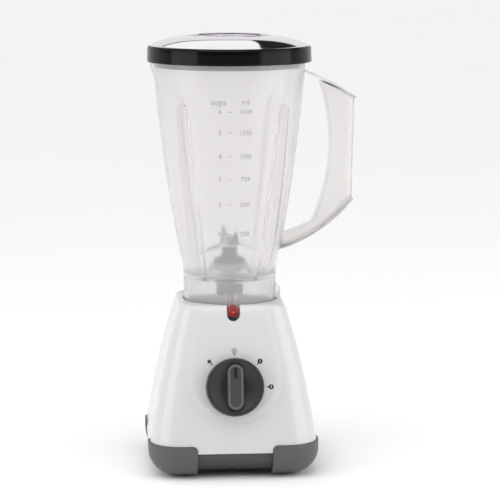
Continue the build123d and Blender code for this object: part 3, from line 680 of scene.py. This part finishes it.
def shoe_cutter(turn):
    """The room of one corner shoe, with its two upper inner edges rounded."""
    low, top, far = shoe_reach - 0.3, shoe_top + 0.3, 92.0
    edge_round = 5.0
    rings = [(low, -5.0)]
    for shift, rise in quarter_round(edge_round, 6):
        rings.append((low + shift, top - edge_round + rise))
    room = capped([[(a, a, z), (far, a, z), (far, far, z), (a, far, z)] for a, z in rings])
    c, s = [(1, 0), (0, 1), (-1, 0), (0, -1)][turn]
    return moved(room, lambda p: (p[0] * c - p[1] * s, p[0] * s + p[1] * c, p[2]))


def out_of_front(point):
    """From (right, up the slope, out of the front) at the knob to the part's frame."""
    right, up, out = point
    return (right, -housing_half(knob_z) + up * math.sin(slope) - out * math.cos(slope),
            knob_z + up * math.cos(slope) + out * math.sin(slope))


def bush_cutter():
    """Hole for the switch bush."""
    return moved(capped([circle(5.2, -8, 48), circle(5.2, 8, 48)]), out_of_front)


make_housing()


# ---- Knob ----

def make_knob():
    """Round body with a rolled rim and a conical dish."""
    section = rounded([
        (8.8, knob_back), (knob_radius, knob_back, 0.5), (knob_radius - 0.4, knob_rim, 1.5),
        (knob_radius - 3.4, knob_rim - 0.35, 1.2), (10.0, knob_dish, 3.0), (5.0, knob_dish),
        (5.0, knob_back + 2.4), (8.8, knob_back + 2.4),
    ], steps=6)
    body = moved(lathe(finer(section, 2.0), 128), out_of_front)
    piece("knob_dish", [body], "knob", "dark_knob", ["control_knob"])


def stadium(half_width, half_length, out, count=24):
    """Obround loop standing upright on the front, at that distance out."""
    straight = half_length - half_width
    loop = []
    for side in (1, -1):
        for step in range(count + 1):
            turn = math.pi * step / count + (0 if side > 0 else math.pi)
            loop.append((half_width * math.cos(turn), side * straight + half_width * math.sin(turn), out))
    return loop


def bar_loop(inset, out):
    """The finger bar's outline drawn in by inset, at that distance out."""
    return stadium(bar_half_width - inset, bar_half_length - inset, out)


def make_grip_bar():
    """Finger bar across the dish, its face sunk inside a raised outline."""
    draft = math.tan(math.radians(2.0))
    foot = knob_dish - 0.4
    wall_top = bar_top - 1.1
    edge_round = 0.9
    rings = [stadium(0.5, 14.0, foot), bar_loop(0.0, foot)]
    for share in (0.33, 0.66, 1.0):
        out = foot + (wall_top - foot) * share
        rings.append(bar_loop(draft * (out - foot), out))
    edge = draft * (wall_top - foot)
    for inward, rise in quarter_round(edge_round, 5, first=1):
        rings.append(bar_loop(edge + inward, wall_top + rise))
    sides = moved(skin(rings), out_of_front)
    sunk = [bar_loop(edge + edge_round + inset, bar_top - drop)
            for inset, drop in ((0.0, 0.2), (0.5, 0.15), (1.1, 0.25), (1.5, 0.8))]
    sunk.append(stadium(0.5, 12.0, bar_top - 0.8))
    points, faces = moved(skin(sunk), out_of_front)
    faces.append(tuple(range(len(points) - len(sunk[-1]), len(points))))
    bar = piece("knob_bar", [sides, (points, faces)], "knob", "dark_knob", paint=bar_paint)
    reworked(bar.data, lambda work: bmesh.ops.holes_fill(work, edges=work.edges))
    ridge = [bar_loop(edge + inset, bar_top - drop)
             for inset, drop in ((0.25, 0.35), (0.45, 0.1), (2.2, 0.1), (2.45, 0.35))]
    ridge = moved(skin(ridge, looped=True), out_of_front)
    piece("knob_outline", [ridge], "knob", "dark_knob", paint=outline_painted_highlight)


make_knob()
make_grip_bar()


# ---- Lock button ----

def make_lock_button():
    """Red disc with a rolled edge on a flat stem, and a padlock outline on its face."""
    low, high = span("lock_slider")
    half = 5.7
    centre_z = high.z - half
    front, back = low.y, low.y + 5.0

    def upright(point):
        return (point[0], -point[2], centre_z + point[1])

    edge = [(half - 0.4, -back), (half, -back + 0.4), (half, -front - 0.9), (half - 0.1, -front - 0.45),
            (half - 0.35, -front - 0.15), (half - 0.9, -front), (4.6, -front - 0.12)]
    disc = spun([(0, -back), *edge, (0, -front - 0.12)], 64)
    stem_box = slab([(-2.5, 137), (2.5, 137), (2.5, 154), (-2.5, 154)], 48.8, 50.6)
    stem = [(x, -out, z) for x, z, out in stem_box[0]], stem_box[1]
    catch = slab([(-3.5, -51.4), (3.5, -51.4), (3.5, -45.8), (-3.5, -45.8)], 136.8, 138.4)
    piece("lock_button", [moved(disc, upright)], "lock", "red_lock", ["lock_slider"])
    piece("lock_stem", [stem, catch], "lock", "black_inner")
    face = -front - 0.12
    sunk, proud = face - 0.2, face + 0.12

    def frame_of(half, low, high, corner):
        corners = [(-half, low, corner), (half, low, corner), (half, high, corner), (-half, high, corner)]
        return finer(rounded(corners, 4), 5)

    def band(outer, inner):
        return skin([[(x, y, sunk) for x, y in outer], [(x, y, proud) for x, y in outer],
                     [(x, y, proud) for x, y in inner], [(x, y, sunk) for x, y in inner]], looped=True)

    body_outer = frame_of(2.3, -2.6, 0.5, 0.5)
    body_inner = frame_of(1.75, -2.05, -0.05, 0.3)
    hoop_outer, hoop_inner = [], []
    for step in range(17):
        turn = math.pi * step / 16
        hoop_outer.append((1.6 * math.cos(turn), 1.3 + 1.6 * math.sin(turn)))
        hoop_inner.append((1.05 * math.cos(turn), 1.3 + 1.05 * math.sin(turn)))
    hoop = [(1.6, 0.5)] + hoop_outer + [(-1.6, 0.5), (-1.05, 0.5)] + hoop_inner[::-1] + [(1.05, 0.5)]
    hoop_shape = capped([[(x, y, sunk) for x, y in hoop], [(x, y, proud) for x, y in hoop]])
    icon = [moved(band(body_outer, body_inner), upright), moved(hoop_shape, upright)]
    piece("lock_icon", icon, "lock", "red_lock", paint=icon_ink)
    spot = rounded([(-0.5, -1.6, 0.2), (0.5, -1.6, 0.2), (0.5, -0.5, 0.2), (-0.5, -0.5, 0.2)], 3)
    spot = moved(slab(spot, sunk, face + 0.08), upright)
    piece("lock_icon_spot", [spot], "lock", "red_lock", paint=latch_spot_ink)


def make_lock_spring():
    """Wound spring between the bracket and the lock's catch, built at one length; the real spring shortens
    as the lock goes down.
    """
    low, high = span("lock_spring")
    wire = 0.35
    coil = high.x - wire
    across = (low.y + high.y) / 2
    windings, per_winding, sides = 5.5, 28, 8
    steps = int(windings * per_winding)
    start, end = low.z + wire, high.z - wire - 0.1
    rings = []
    for step in range(steps + 1):
        turn = 2 * math.pi * step / per_winding
        middle = start + (end - start) * step / steps
        ring = []
        for side in range(sides):
            angle = 2 * math.pi * side / sides
            radius = coil + wire * math.cos(angle)
            z = middle + wire * math.sin(angle)
            ring.append((radius * math.cos(turn), across + radius * math.sin(turn), z))
        rings.append(ring)
    spring = piece("lock_coil", [capped(rings)], "base", "plain_steel", ["lock_spring"])
    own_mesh(spring)


make_lock_button()
make_lock_spring()


# ---- Jar ----

def through(a, b, c):
    """Centre (radius, z) and radius of the circle through three (radius, z) points."""
    (ax, ay), (bx, by), (cx, cy) = a, b, c
    d = 2 * (ax * (by - cy) + bx * (cy - ay) + cx * (ay - by))
    a2, b2, c2 = ax * ax + ay * ay, bx * bx + by * by, cx * cx + cy * cy
    x = (a2 * (by - cy) + b2 * (cy - ay) + c2 * (ay - by)) / d
    y = (a2 * (cx - bx) + b2 * (ax - cx) + c2 * (bx - ax)) / d
    return (x, y), math.dist((x, y), a)


waist = (50.0, 63.0)
belly = (64.2, 153.5)
neck = (72.8, 233.0)
flank_centre, flank_radius = through(waist, belly, neck)
flank_side = 1.0 if waist[0] > flank_centre[0] else -1.0


def flank(z):
    """The jar's outer radius at a height above its collar's foot, without flutes or spout."""
    if z <= 46.0:
        return 44.2 + z / 46.0
    if z < waist[1]:
        return 45.2 + 4.8 * (z - 46.0) / 17.0
    if z <= neck[1]:
        dz = z - flank_centre[1]
        return flank_centre[0] + flank_side * math.sqrt(flank_radius ** 2 - dz * dz)
    return 72.8 + 0.8 * (z - neck[1]) / 17.0


def blended_flank(z):
    """The flank with its two corners at the waist softened."""
    reach = 2.5
    return (flank(z - reach) + 2 * flank(z) + flank(z + reach)) / 4 if 40 < z < 70 else flank(z)


def flute_size(z):
    """Centre distance and radius of the flute's round bar at a height."""
    stations = [(38.0, 55.0, 13.4), (120.0, 65.6, 10.8), (197.5, 73.3, 7.8)]
    if z >= stations[2][0]:
        spare = stations[2][2] ** 2 - (z - stations[2][0]) ** 2
        return stations[2][1], math.sqrt(spare) if spare > 0 else 0.0
    first = 0 if z < stations[1][0] else 1
    (z0, c0, r0), (z1, c1, r1) = stations[first], stations[first + 1]
    t = (z - z0) / (z1 - z0)
    return c0 + (c1 - c0) * t, r0 + (r1 - r0) * t


def flute_reach(z, turn, grow):
    """How far from the axis the fluted wall lies in that direction, or None outside the flute."""
    centre, radius = flute_size(z)
    radius += grow
    if radius <= grow or z < 38.0:
        return None
    aside = [(turn - quarter + math.pi) % (2 * math.pi) - math.pi for quarter in flute_turns]
    nearest = min(aside, key=abs)
    across = centre * math.sin(nearest)
    if abs(across) >= radius:
        return None
    return centre * math.cos(nearest) - math.sqrt(radius * radius - across * across)


flute_turns = [math.radians(45 + 90 * k) for k in range(4)]


def softer_low(a, b, reach):
    """The lower of two values, with the crease between them rounded."""
    gap = a - b
    return a - 0.5 * (gap + math.sqrt(gap * gap + reach * reach))


def spout_swell(z, turn):
    """How far the pouring lip stands out of the round rim."""
    low, full = 222.0, 243.0
    lift = ease((z - low) / (full - low))
    away = turn % (2 * math.pi) - math.pi
    return 3.7 * lift * math.exp(-(away / 0.27) ** 2)


def wall_radius(z, turn, inside):
    """Outer or inner radius of the jar's wall."""
    grow = jar_wall if inside else 0.0
    radius = blended_flank(z) - grow + spout_swell(z, turn)
    pressed = flute_reach(z, turn, grow)
    return softer_low(radius, pressed, 0.5) if pressed is not None and pressed < radius + 1.5 else radius


def wall_ring(z, turns, inside=False):
    return [polar(wall_radius(z, t, inside), t, jar_z + z) for t in turns]


def make_jar():
    """Fluted wall with a rounded rim and spout, floor with the blade boss, and the hollow collar."""
    turns = []
    for quarter in range(4):
        middle = math.radians(45 + 90 * quarter)
        fine = 46
        for i in range(-fine, fine):
            turns.append(middle + math.radians(16.5) * i / fine)
        rest = 26
        for i in range(rest):
            turns.append(middle + math.radians(16.5 + 57.0 * i / rest))
    levels = [1.2, 4, 12, 22, 32, 36, 37.9]
    levels += [38.1, 38.6, 39.4, 40.5, 42, 44, 46, 48, 50, 53, 56, 59, 61, 63, 65, 68]
    levels += [72 + 6 * k for k in range(20)]
    levels += [189, 192, 194, 196, 198, 199.5, 201, 202.2, 203.2, 204, 204.6, 205.1, 205.6, 207, 210, 214]
    levels += [218, 221, 224, 227, 230, 233, 236, 239, 242, 245, rim_z - 1.3]
    rings = []

    def disc(radius, z):
        return [polar(radius, t, jar_z + z) for t in turns]

    rings += [disc(43.0, 0.0), disc(43.8, 0.35)]
    rings += [wall_ring(z, turns) for z in levels]
    for step in range(5):
        angle = math.pi * step / 4
        z = rim_z - 1.25 + 1.25 * math.sin(angle)
        inset = jar_wall / 2 * (1 - math.cos(angle))
        rings.append([polar(wall_radius(rim_z, t, False) - inset, t, jar_z + z) for t in turns])
    floor_round = 4.5
    inner_levels = [z for z in reversed(levels[:-1]) if z > floor_z + floor_round]
    rings += [wall_ring(z, turns, inside=True) for z in inner_levels]
    for inset, drop in quarter_round(floor_round, 4, first=1):
        z = floor_z + floor_round - drop
        rings.append([polar(wall_radius(z + 1.0, t, True) - inset, t, jar_z + z) for t in turns])
    rings += [disc(24.0, floor_z), disc(22.4, floor_z + 0.5), disc(17.4, boss_z - 1.0), disc(16.6, boss_z),
              disc(9.4, boss_z), disc(9.4, boss_z - 3), disc(14.5, boss_z - 3), disc(19.5, floor_z - 3),
              disc(42.0, floor_z - 3), disc(42.6, floor_z - 4), disc(41.7, 0.0)]
    body = skin(rings, looped=True)
    lug = slab(rounded([(43.4, 12.8), (48.7, 12.8, 1.0), (48.7, 21.7, 1.2), (44.2, 27.0)], 4), -9, 9)
    lug = [(x, y, jar_z + z) for x, z, y in lug[0]], lug[1]
    piece("jar_wall", [body, lug], "jar", "jar_plastic", ["jar_body"], sharp=50.0)


make_jar()


# ---- Handle ----

grip_half = 12.0
strip_half = 14.0
handle_wall = 2.2
plate_path = [(60.0, 239.0), (105.0, 218.0), (122.4, 207.8)]
arm_path = [(119.2, 108.3), (92.6, 82.4), (47.0, 59.6)]
arm_chord = [(47.0, 72.0), (79.5, 84.6)]
grip_path = [(79.5, 84.6), (97.8, 165.0), (87.3, 223.1)]
back_line = [(118.8, 108.6), (121.0, 208.0)]


def arc_x(path, z):
    """Where the arc through three (x, z) points crosses a height, on its outer side."""
    centre, radius = through(*path)
    return centre[0] + math.sqrt(max(0.0, radius ** 2 - (z - centre[1]) ** 2))


def line_x(line, z):
    (x0, z0), (x1, z1) = line
    return x0 + (x1 - x0) * (z - z0) / (z1 - z0)


def grip_edges(z):
    """Inner and outer edge of the grip's side at a height."""
    if z < arm_chord[0][1]:
        inner = flank(z) - 0.8
    elif z < arm_chord[1][1]:
        inner = max(flank(z) - 0.8, line_x(arm_chord, z))
    else:
        inner = arc_x(grip_path, z)
    outer = arc_x(arm_path, z) - 1.0 if z < back_line[0][1] else line_x(back_line, z)
    return inner, outer


def plate_height(x):
    """Height of the top strip's underside above a place on the radius."""
    centre, radius = through(*plate_path)
    return centre[1] + math.sqrt(radius ** 2 - (x - centre[0]) ** 2) - handle_wall * 0.7


def grip_loop(inner, outer, z):
    """Channel section at one height, open towards the jar, its back corners rounded."""
    width = max(outer - inner, 0.8)
    wall = min(handle_wall, width * 0.4)
    bend = min(8.0, width * 0.8)
    inner_bend = max(bend - wall, 0.3)
    loop = []

    def corner(x, y, radius, start, way=1, steps=8):
        for step in range(steps + 1):
            turn = start + way * math.pi / 2 * step / steps
            loop.append((x + radius * math.cos(turn), y + radius * math.sin(turn)))

    middle = inner + width * 0.35
    loop.append((middle, -grip_half))
    corner(inner + width - bend, -grip_half + bend, bend, -math.pi / 2)
    corner(inner + width - bend, grip_half - bend, bend, 0.0)
    loop.append((middle, grip_half))
    loop += [(inner + 0.5, grip_half), (inner, grip_half - wall * 0.3), (inner, grip_half - wall * 0.7),
             (inner + 0.5, grip_half - wall)]
    loop.append((middle, grip_half - wall))
    back = inner + width - wall - inner_bend
    corner(back, grip_half - wall - inner_bend, inner_bend, math.pi / 2, way=-1)
    corner(back, -grip_half + wall + inner_bend, inner_bend, 0.0, way=-1)
    loop.append((middle, -grip_half + wall))
    loop += [(inner + 0.5, -grip_half + wall), (inner, -grip_half + wall * 0.7),
             (inner, -grip_half + wall * 0.3), (inner + 0.5, -grip_half)]
    return [(x, y, jar_z + min(z, plate_height(x))) for x, y in loop]


def strip(path, start, end, count=40):
    """A flat strip with rounded edges along the arc through three points, between two shares of it."""
    centre, radius = through(*path)
    first = math.atan2(path[0][1] - centre[1], path[0][0] - centre[0])
    last = math.atan2(path[2][1] - centre[1], path[2][0] - centre[0])
    half_thick = handle_wall / 2
    middle = radius - half_thick
    soft = half_thick * 0.8
    end_soft = 0.9 / (radius * abs(last - first))
    end_size = 0.55

    def section(share, grow):
        turn = first + (last - first) * share
        ring = []
        for side_y, side_r, quarter in ((-1, -1, 2), (-1, 1, 1), (1, 1, 0), (1, -1, -1)):
            for step in range(4):
                angle = math.pi / 2 * (quarter + 1 - step / 3)
                y = side_y * (strip_half - soft) + soft * math.cos(angle)
                y *= (strip_half - (1 - grow) * half_thick) / strip_half
                r = middle + (side_r * (half_thick - soft) + soft * math.sin(angle)) * grow
                ring.append((centre[0] + r * math.cos(turn), y, jar_z + centre[1] + r * math.sin(turn)))
        return ring

    rings = [section(start, end_size), section(start + end_soft, 1.0)]
    rings += [section(start + (end - start) * step / count, 1.0) for step in range(1, count)]
    rings += [section(end - end_soft, 1.0), section(end, end_size)]
    return capped(rings)


def make_handle():
    """Channel grip that opens towards the jar, with a strip along its top and one along the lower arm."""
    low, high = 62.2, 222.6
    levels = [low + (high - low) * (step / 90) for step in range(91)]
    grip = capped([grip_loop(*grip_edges(z), z) for z in levels])
    piece("handle_grip", [grip], "jar", "jar_plastic", ["jar_handle"], sharp=50)
    top = strip(plate_path, 0.155, 1.0)
    arm = strip(arm_path, -0.012, 0.985)
    piece("handle_strips", [top, arm], "jar", "jar_plastic", sharp=50)


make_handle()


# ---- Printed scale ----

def lettering(words, size, depth):
    """Flat words as a thin closed solid, centred at the origin, in millimetres."""
    curve = bpy.data.curves.new("words", "FONT")
    curve.body = words
    curve.size = size
    curve.extrude = depth / 2
    curve.offset = size * 0.012
    curve.align_x = "CENTER"
    curve.align_y = "CENTER"
    curve.resolution_u = 3
    holder = placed("words", curve)
    bpy.context.view_layer.update()
    mesh = bpy.data.meshes.new_from_object(holder.evaluated_get(bpy.context.evaluated_depsgraph_get()))
    points = [tuple(v.co) for v in mesh.vertices]
    faces = [tuple(p.vertices) for p in mesh.polygons]
    bpy.data.objects.remove(holder)
    return points, faces


def on_jar(across, z, out):
    """A point of the jar's front: across to the right of its middle line, at a height, that far out."""
    turn = -math.pi / 2 + math.asin(across / flank(z))
    radius = wall_radius(z, turn, False) + out
    return polar(radius, turn, jar_z + z)


def make_scale():
    """Cups on the left and millilitres on the right of a column of ticks."""
    ink = 0.12
    marks = [(198.4, "1500", "6"), (178.2, "1250", "5"), (156.1, "1000", "4"), (134.0, "750", "3"),
             (109.4, "500", "2"), (80.7, "250", "1")]
    shapes = []

    def put(words, across, z, size):
        shape = lettering(words, size, ink)
        shapes.append(moved(shape, lambda p: on_jar(across + p[0], z + p[1], p[2] + 0.05)))

    for z, millilitres, cups in marks:
        put(cups, -13.2, z, 6.2)
        put(millilitres, 10.8, z, 6.2)
        tick = slab([(-6.0, z - 0.3), (-2.6, z - 0.3), (-2.6, z + 0.3), (-6.0, z + 0.3)], -ink / 2, ink / 2)
        shapes.append(moved(tick, lambda p: on_jar(p[0], p[1], p[2] + 0.05)))
    head_z = marks[0][0] + 9.0
    put("cups", -15.0, head_z, 8.0)
    put("ml", 10.6, head_z, 7.4)
    piece("jar_scale", shapes, "jar", paint=scale_ink)


make_scale()


# ---- Dial marks ----

def on_panel(across, up, out):
    """A point of the front panel, measured up the slope from the knob, that far out of the skin."""
    z = knob_z + up * math.cos(slope)
    share = shield_share(across, z)
    return (across, -(housing_half(z) + panel_rise * share) - out, z)


def flat_disc(x, y, radius, low, high, count=40):
    turns = [2 * math.pi * i / count for i in range(count)]
    return slab([(x + radius * math.cos(turn), y + radius * math.sin(turn)) for turn in turns], low, high)


def flat_ring(x, y, outer, inner, low, high, count=40):
    return lathe([(outer, low), (outer, high), (inner, high), (inner, low)], count, x, y)


def make_dial():
    """Off, two speeds and pulse round the knob: a numbered spot each, with a tail towards the knob."""
    reach, spot, tail_end = 34.6, 2.4, 30.4
    low, high = -0.1, 0.1
    dark, light = [], []

    def bar(turn, start, end, half):
        s, c = math.sin(turn), math.cos(turn)
        corners = [(start, -half), (end, -half), (end, half), (start, half)]
        return slab([(s * r + c * w, c * r - s * w) for r, w in corners], low, high)

    def digit(words, turn, size, level):
        x, y = reach * math.sin(turn), reach * math.cos(turn)
        points, faces = lettering(words, size, 0.1)
        return [(px + x, py + y, pz + level) for px, py, pz in points], faces

    for degrees, words, solid in ((0, "0", False), (45, "1", True), (90, "2", True)):
        turn = math.radians(degrees)
        x, y = reach * math.sin(turn), reach * math.cos(turn)
        if solid:
            dark.append(flat_disc(x, y, spot, low, high))
            light.append(digit(words, turn, 3.6, high))
        else:
            dark.append(flat_ring(x, y, spot, spot - 0.5, low, high))
            dark.append(digit(words, turn, 3.0, 0.05))
        dark.append(bar(turn, tail_end, reach - spot + 0.3, 0.45))
    turn = math.radians(-44)
    x, y = reach * math.sin(turn), reach * math.cos(turn)
    burst = []
    for step in range(16):
        radius = spot * (1.05 if step % 2 == 0 else 0.5)
        angle = 2 * math.pi * step / 16
        burst.append((x + radius * math.cos(angle), y + radius * math.sin(angle)))
    dark.append(slab(burst, low, high))
    dark.append(bar(turn, tail_end, reach - spot + 0.6, 0.45))
    piece("dial_marks", [moved(shape, lambda p: on_panel(*p)) for shape in dark], "base", paint=dial_ink)
    piece("dial_digits", [moved(shape, lambda p: on_panel(*p)) for shape in light], "base", paint=white_ink)


make_dial()


# ---- Lid ----

def above_foot(corners):
    """The same (radius, z) or (radius, z, corner radius) corners, with z counted from the jar's foot."""
    return [(radius, jar_z + z, *corner) for radius, z, *corner in corners]


def make_lid():
    """Black rim with rolled edges and the plug below it."""
    rim = rounded(above_foot([
        (77.4, 241.7, 0.4), (79.3, 241.7, 0.6), (79.2, 244.2, 2.0), (78.9, 255.0, 2.2), (77.7, 257.0, 0.8),
        (74.0, 257.0), (74.0, 255.5), (41.2, 255.5), (41.2, 264.2, 0.5), (38.6, 264.2, 0.5),
        (38.6, 238.0, 0.4), (41.2, 238.0, 0.4), (41.2, 252.6, 1.0), (67.0, 252.6, 1.0), (66.0, 236.5, 0.4),
        (68.4, 236.5, 0.8), (69.0, 242.9), (67.6, 242.9), (67.6, 247.1), (69.4, 247.1), (69.7, 252.6),
        (77.4, 252.6, 0.6),
    ]), steps=5)
    piece("lid_rim", [lathe(finer(rim, 4.0), 192)], "lid", "black_gloss", ["lid_body"])


def make_seal():
    """Grey seal in the plug's groove, its soft lip hanging down along the plug."""
    section = [(67.7, 242.95), (69.1, 242.9), (68.65, 236.9), (69.4, 236.6), (70.1, 237.0), (70.3, 241.6),
               (70.45, 243.4), (70.45, 246.6), (70.1, 246.95), (67.7, 246.95)]
    shape = lathe(finer(above_foot(section), 3.0), 192)
    piece("lid_seal", [shape], "lid", "seal_rubber", ["lid_gasket"])


def make_dome():
    """Thin chromed cover, arched from the rim to the filler cap."""
    dome_z = jar_z + 257.0
    centre, radius = through((77.4, dome_z), (60.0, dome_z + 6.6), (38.5, dome_z + 9.6))
    outer = []
    steps = 24
    for step in range(steps + 1):
        r = 77.0 + (39.0 - 77.0) * step / steps
        outer.append((r, centre[1] + math.sqrt(radius ** 2 - (r - centre[0]) ** 2)))
    edge = [(76.4, dome_z + 0.02), (77.2, dome_z + 0.02), (77.4, dome_z + 0.2)]
    inner = [(38.6, outer[-1][1] - 0.5), (38.6, outer[-1][1] - 1.2)]
    inner += [(r, z - 1.3) for r, z in reversed(outer[3:-1])]
    inner = [(r, max(z, dome_z + 0.02)) for r, z in inner]
    piece("lid_dome", [lathe(edge + outer + inner, 192)], "lid", "chrome_plate", ["lid_chrome_cover"])


def make_cap():
    """Clear cap: a shallow lid with a rolled flange on a long tube."""
    z0 = jar_z
    top = cap_top
    wall = rounded([
        (34.2, z0 + top - 3.4, 1.5), (34.0, z0 + 241.0, 0.8), (36.2, z0 + 241.0, 0.8),
        (36.6, z0 + top - 3.6, 0.3), (37.5, z0 + top - 3.2, 0.5), (37.5, z0 + top - 1.6, 1.0),
        (34.5, z0 + top - 0.3, 1.5), (32.0, z0 + top - 0.6, 1.0), (30.5, z0 + top - 0.6, 0.8),
        (29.0, z0 + top, 0.8),
    ], steps=4)
    section = [(0, z0 + top - 3.4)] + finer(wall, 4.0, closed=False) + [(0, z0 + top)]
    piece("filler_cap_clear", [spun(section, 128)], "cap", "cap_plastic", ["filler_cap"])


make_lid()
make_seal()
make_dome()
make_cap()


# ---- Studio ----

camera_azimuth = -4.5


def studio_floor():
    mesh = bpy.data.meshes.new("studio_floor")
    far = 400.0
    mesh.from_pydata([(-far, -far, 0), (far, -far, 0), (far, far, 0), (-far, far, 0)], [], [(0, 1, 2, 3)])
    paint = Paint("floor_paper", specular_ior_level=0.1)
    paint.tint(paint.cloud(400.0), (0.93, 0.93, 0.93, 1), (0.95, 0.95, 0.95, 1))
    paint.gloss(paint.cloud(30.0), 0.75, 0.9)
    mesh.materials.append(paint.material)
    placed("studio_floor", mesh)


def look_back(thing, aim, way, distance):
    """Puts a lamp or camera that far from the aim along the way, and turns it to the aim."""
    thing.location = aim + way * distance
    thing.rotation_mode = "QUATERNION"
    thing.rotation_quaternion = way.to_track_quat("Z", "Y")


def softbox(name, azimuth, elevation, distance, width, height, watts, aim):
    """A rectangular light that looks at the aim from a compass direction, 0 being the front."""
    a, e = math.radians(azimuth), math.radians(elevation)
    way = Vector((math.sin(a) * math.cos(e), -math.cos(a) * math.cos(e), math.sin(e)))
    data = bpy.data.lights.new(name, "AREA")
    data.shape = "RECTANGLE"
    data.size = width
    data.size_y = height
    data.energy = watts
    look_back(placed(name, data), aim, way, distance)


def studio_lights():
    """Two softboxes at the sides, an overhead lamp, a bright ceiling and back wall, and dark low walls
    in front, with one black flag behind on the right."""
    low, high = cad_box
    aim = (low + high) / 2
    softbox("left_softbox", -69, 10, 1.5, 1.1, 1.5, 10.0, aim)
    softbox("right_softbox", 64, 10, 1.5, 1.4, 1.5, 13.0, aim)
    overhead = bpy.data.lights.new("overhead", "SUN")
    overhead.energy = 0.88
    overhead.angle = math.radians(50)
    placed("overhead", overhead).rotation_euler = (math.radians(22), math.radians(-8), 0)
    world = bpy.data.worlds.new("studio")
    world.use_nodes = True
    walls = Graph(world.node_tree)
    direction = walls.node("ShaderNodeTexCoord", {}, {}, output="Generated")

    def along(x, y, z):
        return walls.node("ShaderNodeVectorMath", {"operation": "DOT_PRODUCT"},
                          {0: direction, 1: (x, y, z)}, output="Value")

    turn = math.radians(camera_azimuth)
    behind = along(-math.sin(turn), math.cos(turn), 0.0)
    right = along(math.cos(turn), math.sin(turn), 0.0)
    up = along(0.0, 0.0, 1.0)
    ceiling = walls.ramp(up, 0.30, 0.55, 0.0, 1.0)
    back_wall = walls.ramp(behind, 0.0, 0.45, 0.0, 1.0)
    lit = 1 - (1 - ceiling) * (1 - back_wall)
    rear_half = walls.ramp(behind, 0.3, 0.4, 0.0, 1.0)
    top_edge = (0.44 - (right - 0.14) * 3.6).maths("MINIMUM", 0.44)
    right_of_edge = walls.ramp(right - up * 0.376, -0.132, -0.124, 0.0, 1.0)
    flag = rear_half * walls.ramp(up - top_edge, 0.0, 0.02, 0.0, 1.0) * right_of_edge
    seam = rear_half * walls.ramp(up, 0.42, 0.425, 0.0, 1.0) * walls.ramp(up, 0.45, 0.455, 1.0, 0.0)
    bounce = rear_half * walls.ramp(up, 0.44, 0.46, 0.0, 0.22)
    dark = 1 - (1 - flag) * (1 - seam)
    glow = (0.05 + 0.79 * lit + bounce) * (1 - 0.98 * dark)
    background = world.node_tree.nodes["Background"]
    background.inputs["Color"].default_value = (1.0, 0.99, 0.985, 1)
    walls.put(glow, background.inputs["Strength"])
    bpy.context.scene.world = world


def studio_camera():
    azimuth, elevation, distance = math.radians(camera_azimuth), math.radians(8.6), 2.1
    low, high = cad_box
    aim = Vector((0.020, 0.0, (low.z + high.z) / 2))
    level = Vector((math.sin(azimuth), -math.cos(azimuth), 0)) * math.cos(elevation)
    way = level + Vector((0, 0, math.sin(elevation)))
    data = bpy.data.cameras.new("camera")
    data.lens = 155.0
    data.sensor_width = 36.0
    camera = placed("camera", data)
    look_back(camera, aim, way, distance)
    bpy.context.scene.camera = camera


studio_floor()
studio_lights()
studio_camera()
bpy.context.scene.view_settings.view_transform = "Standard"
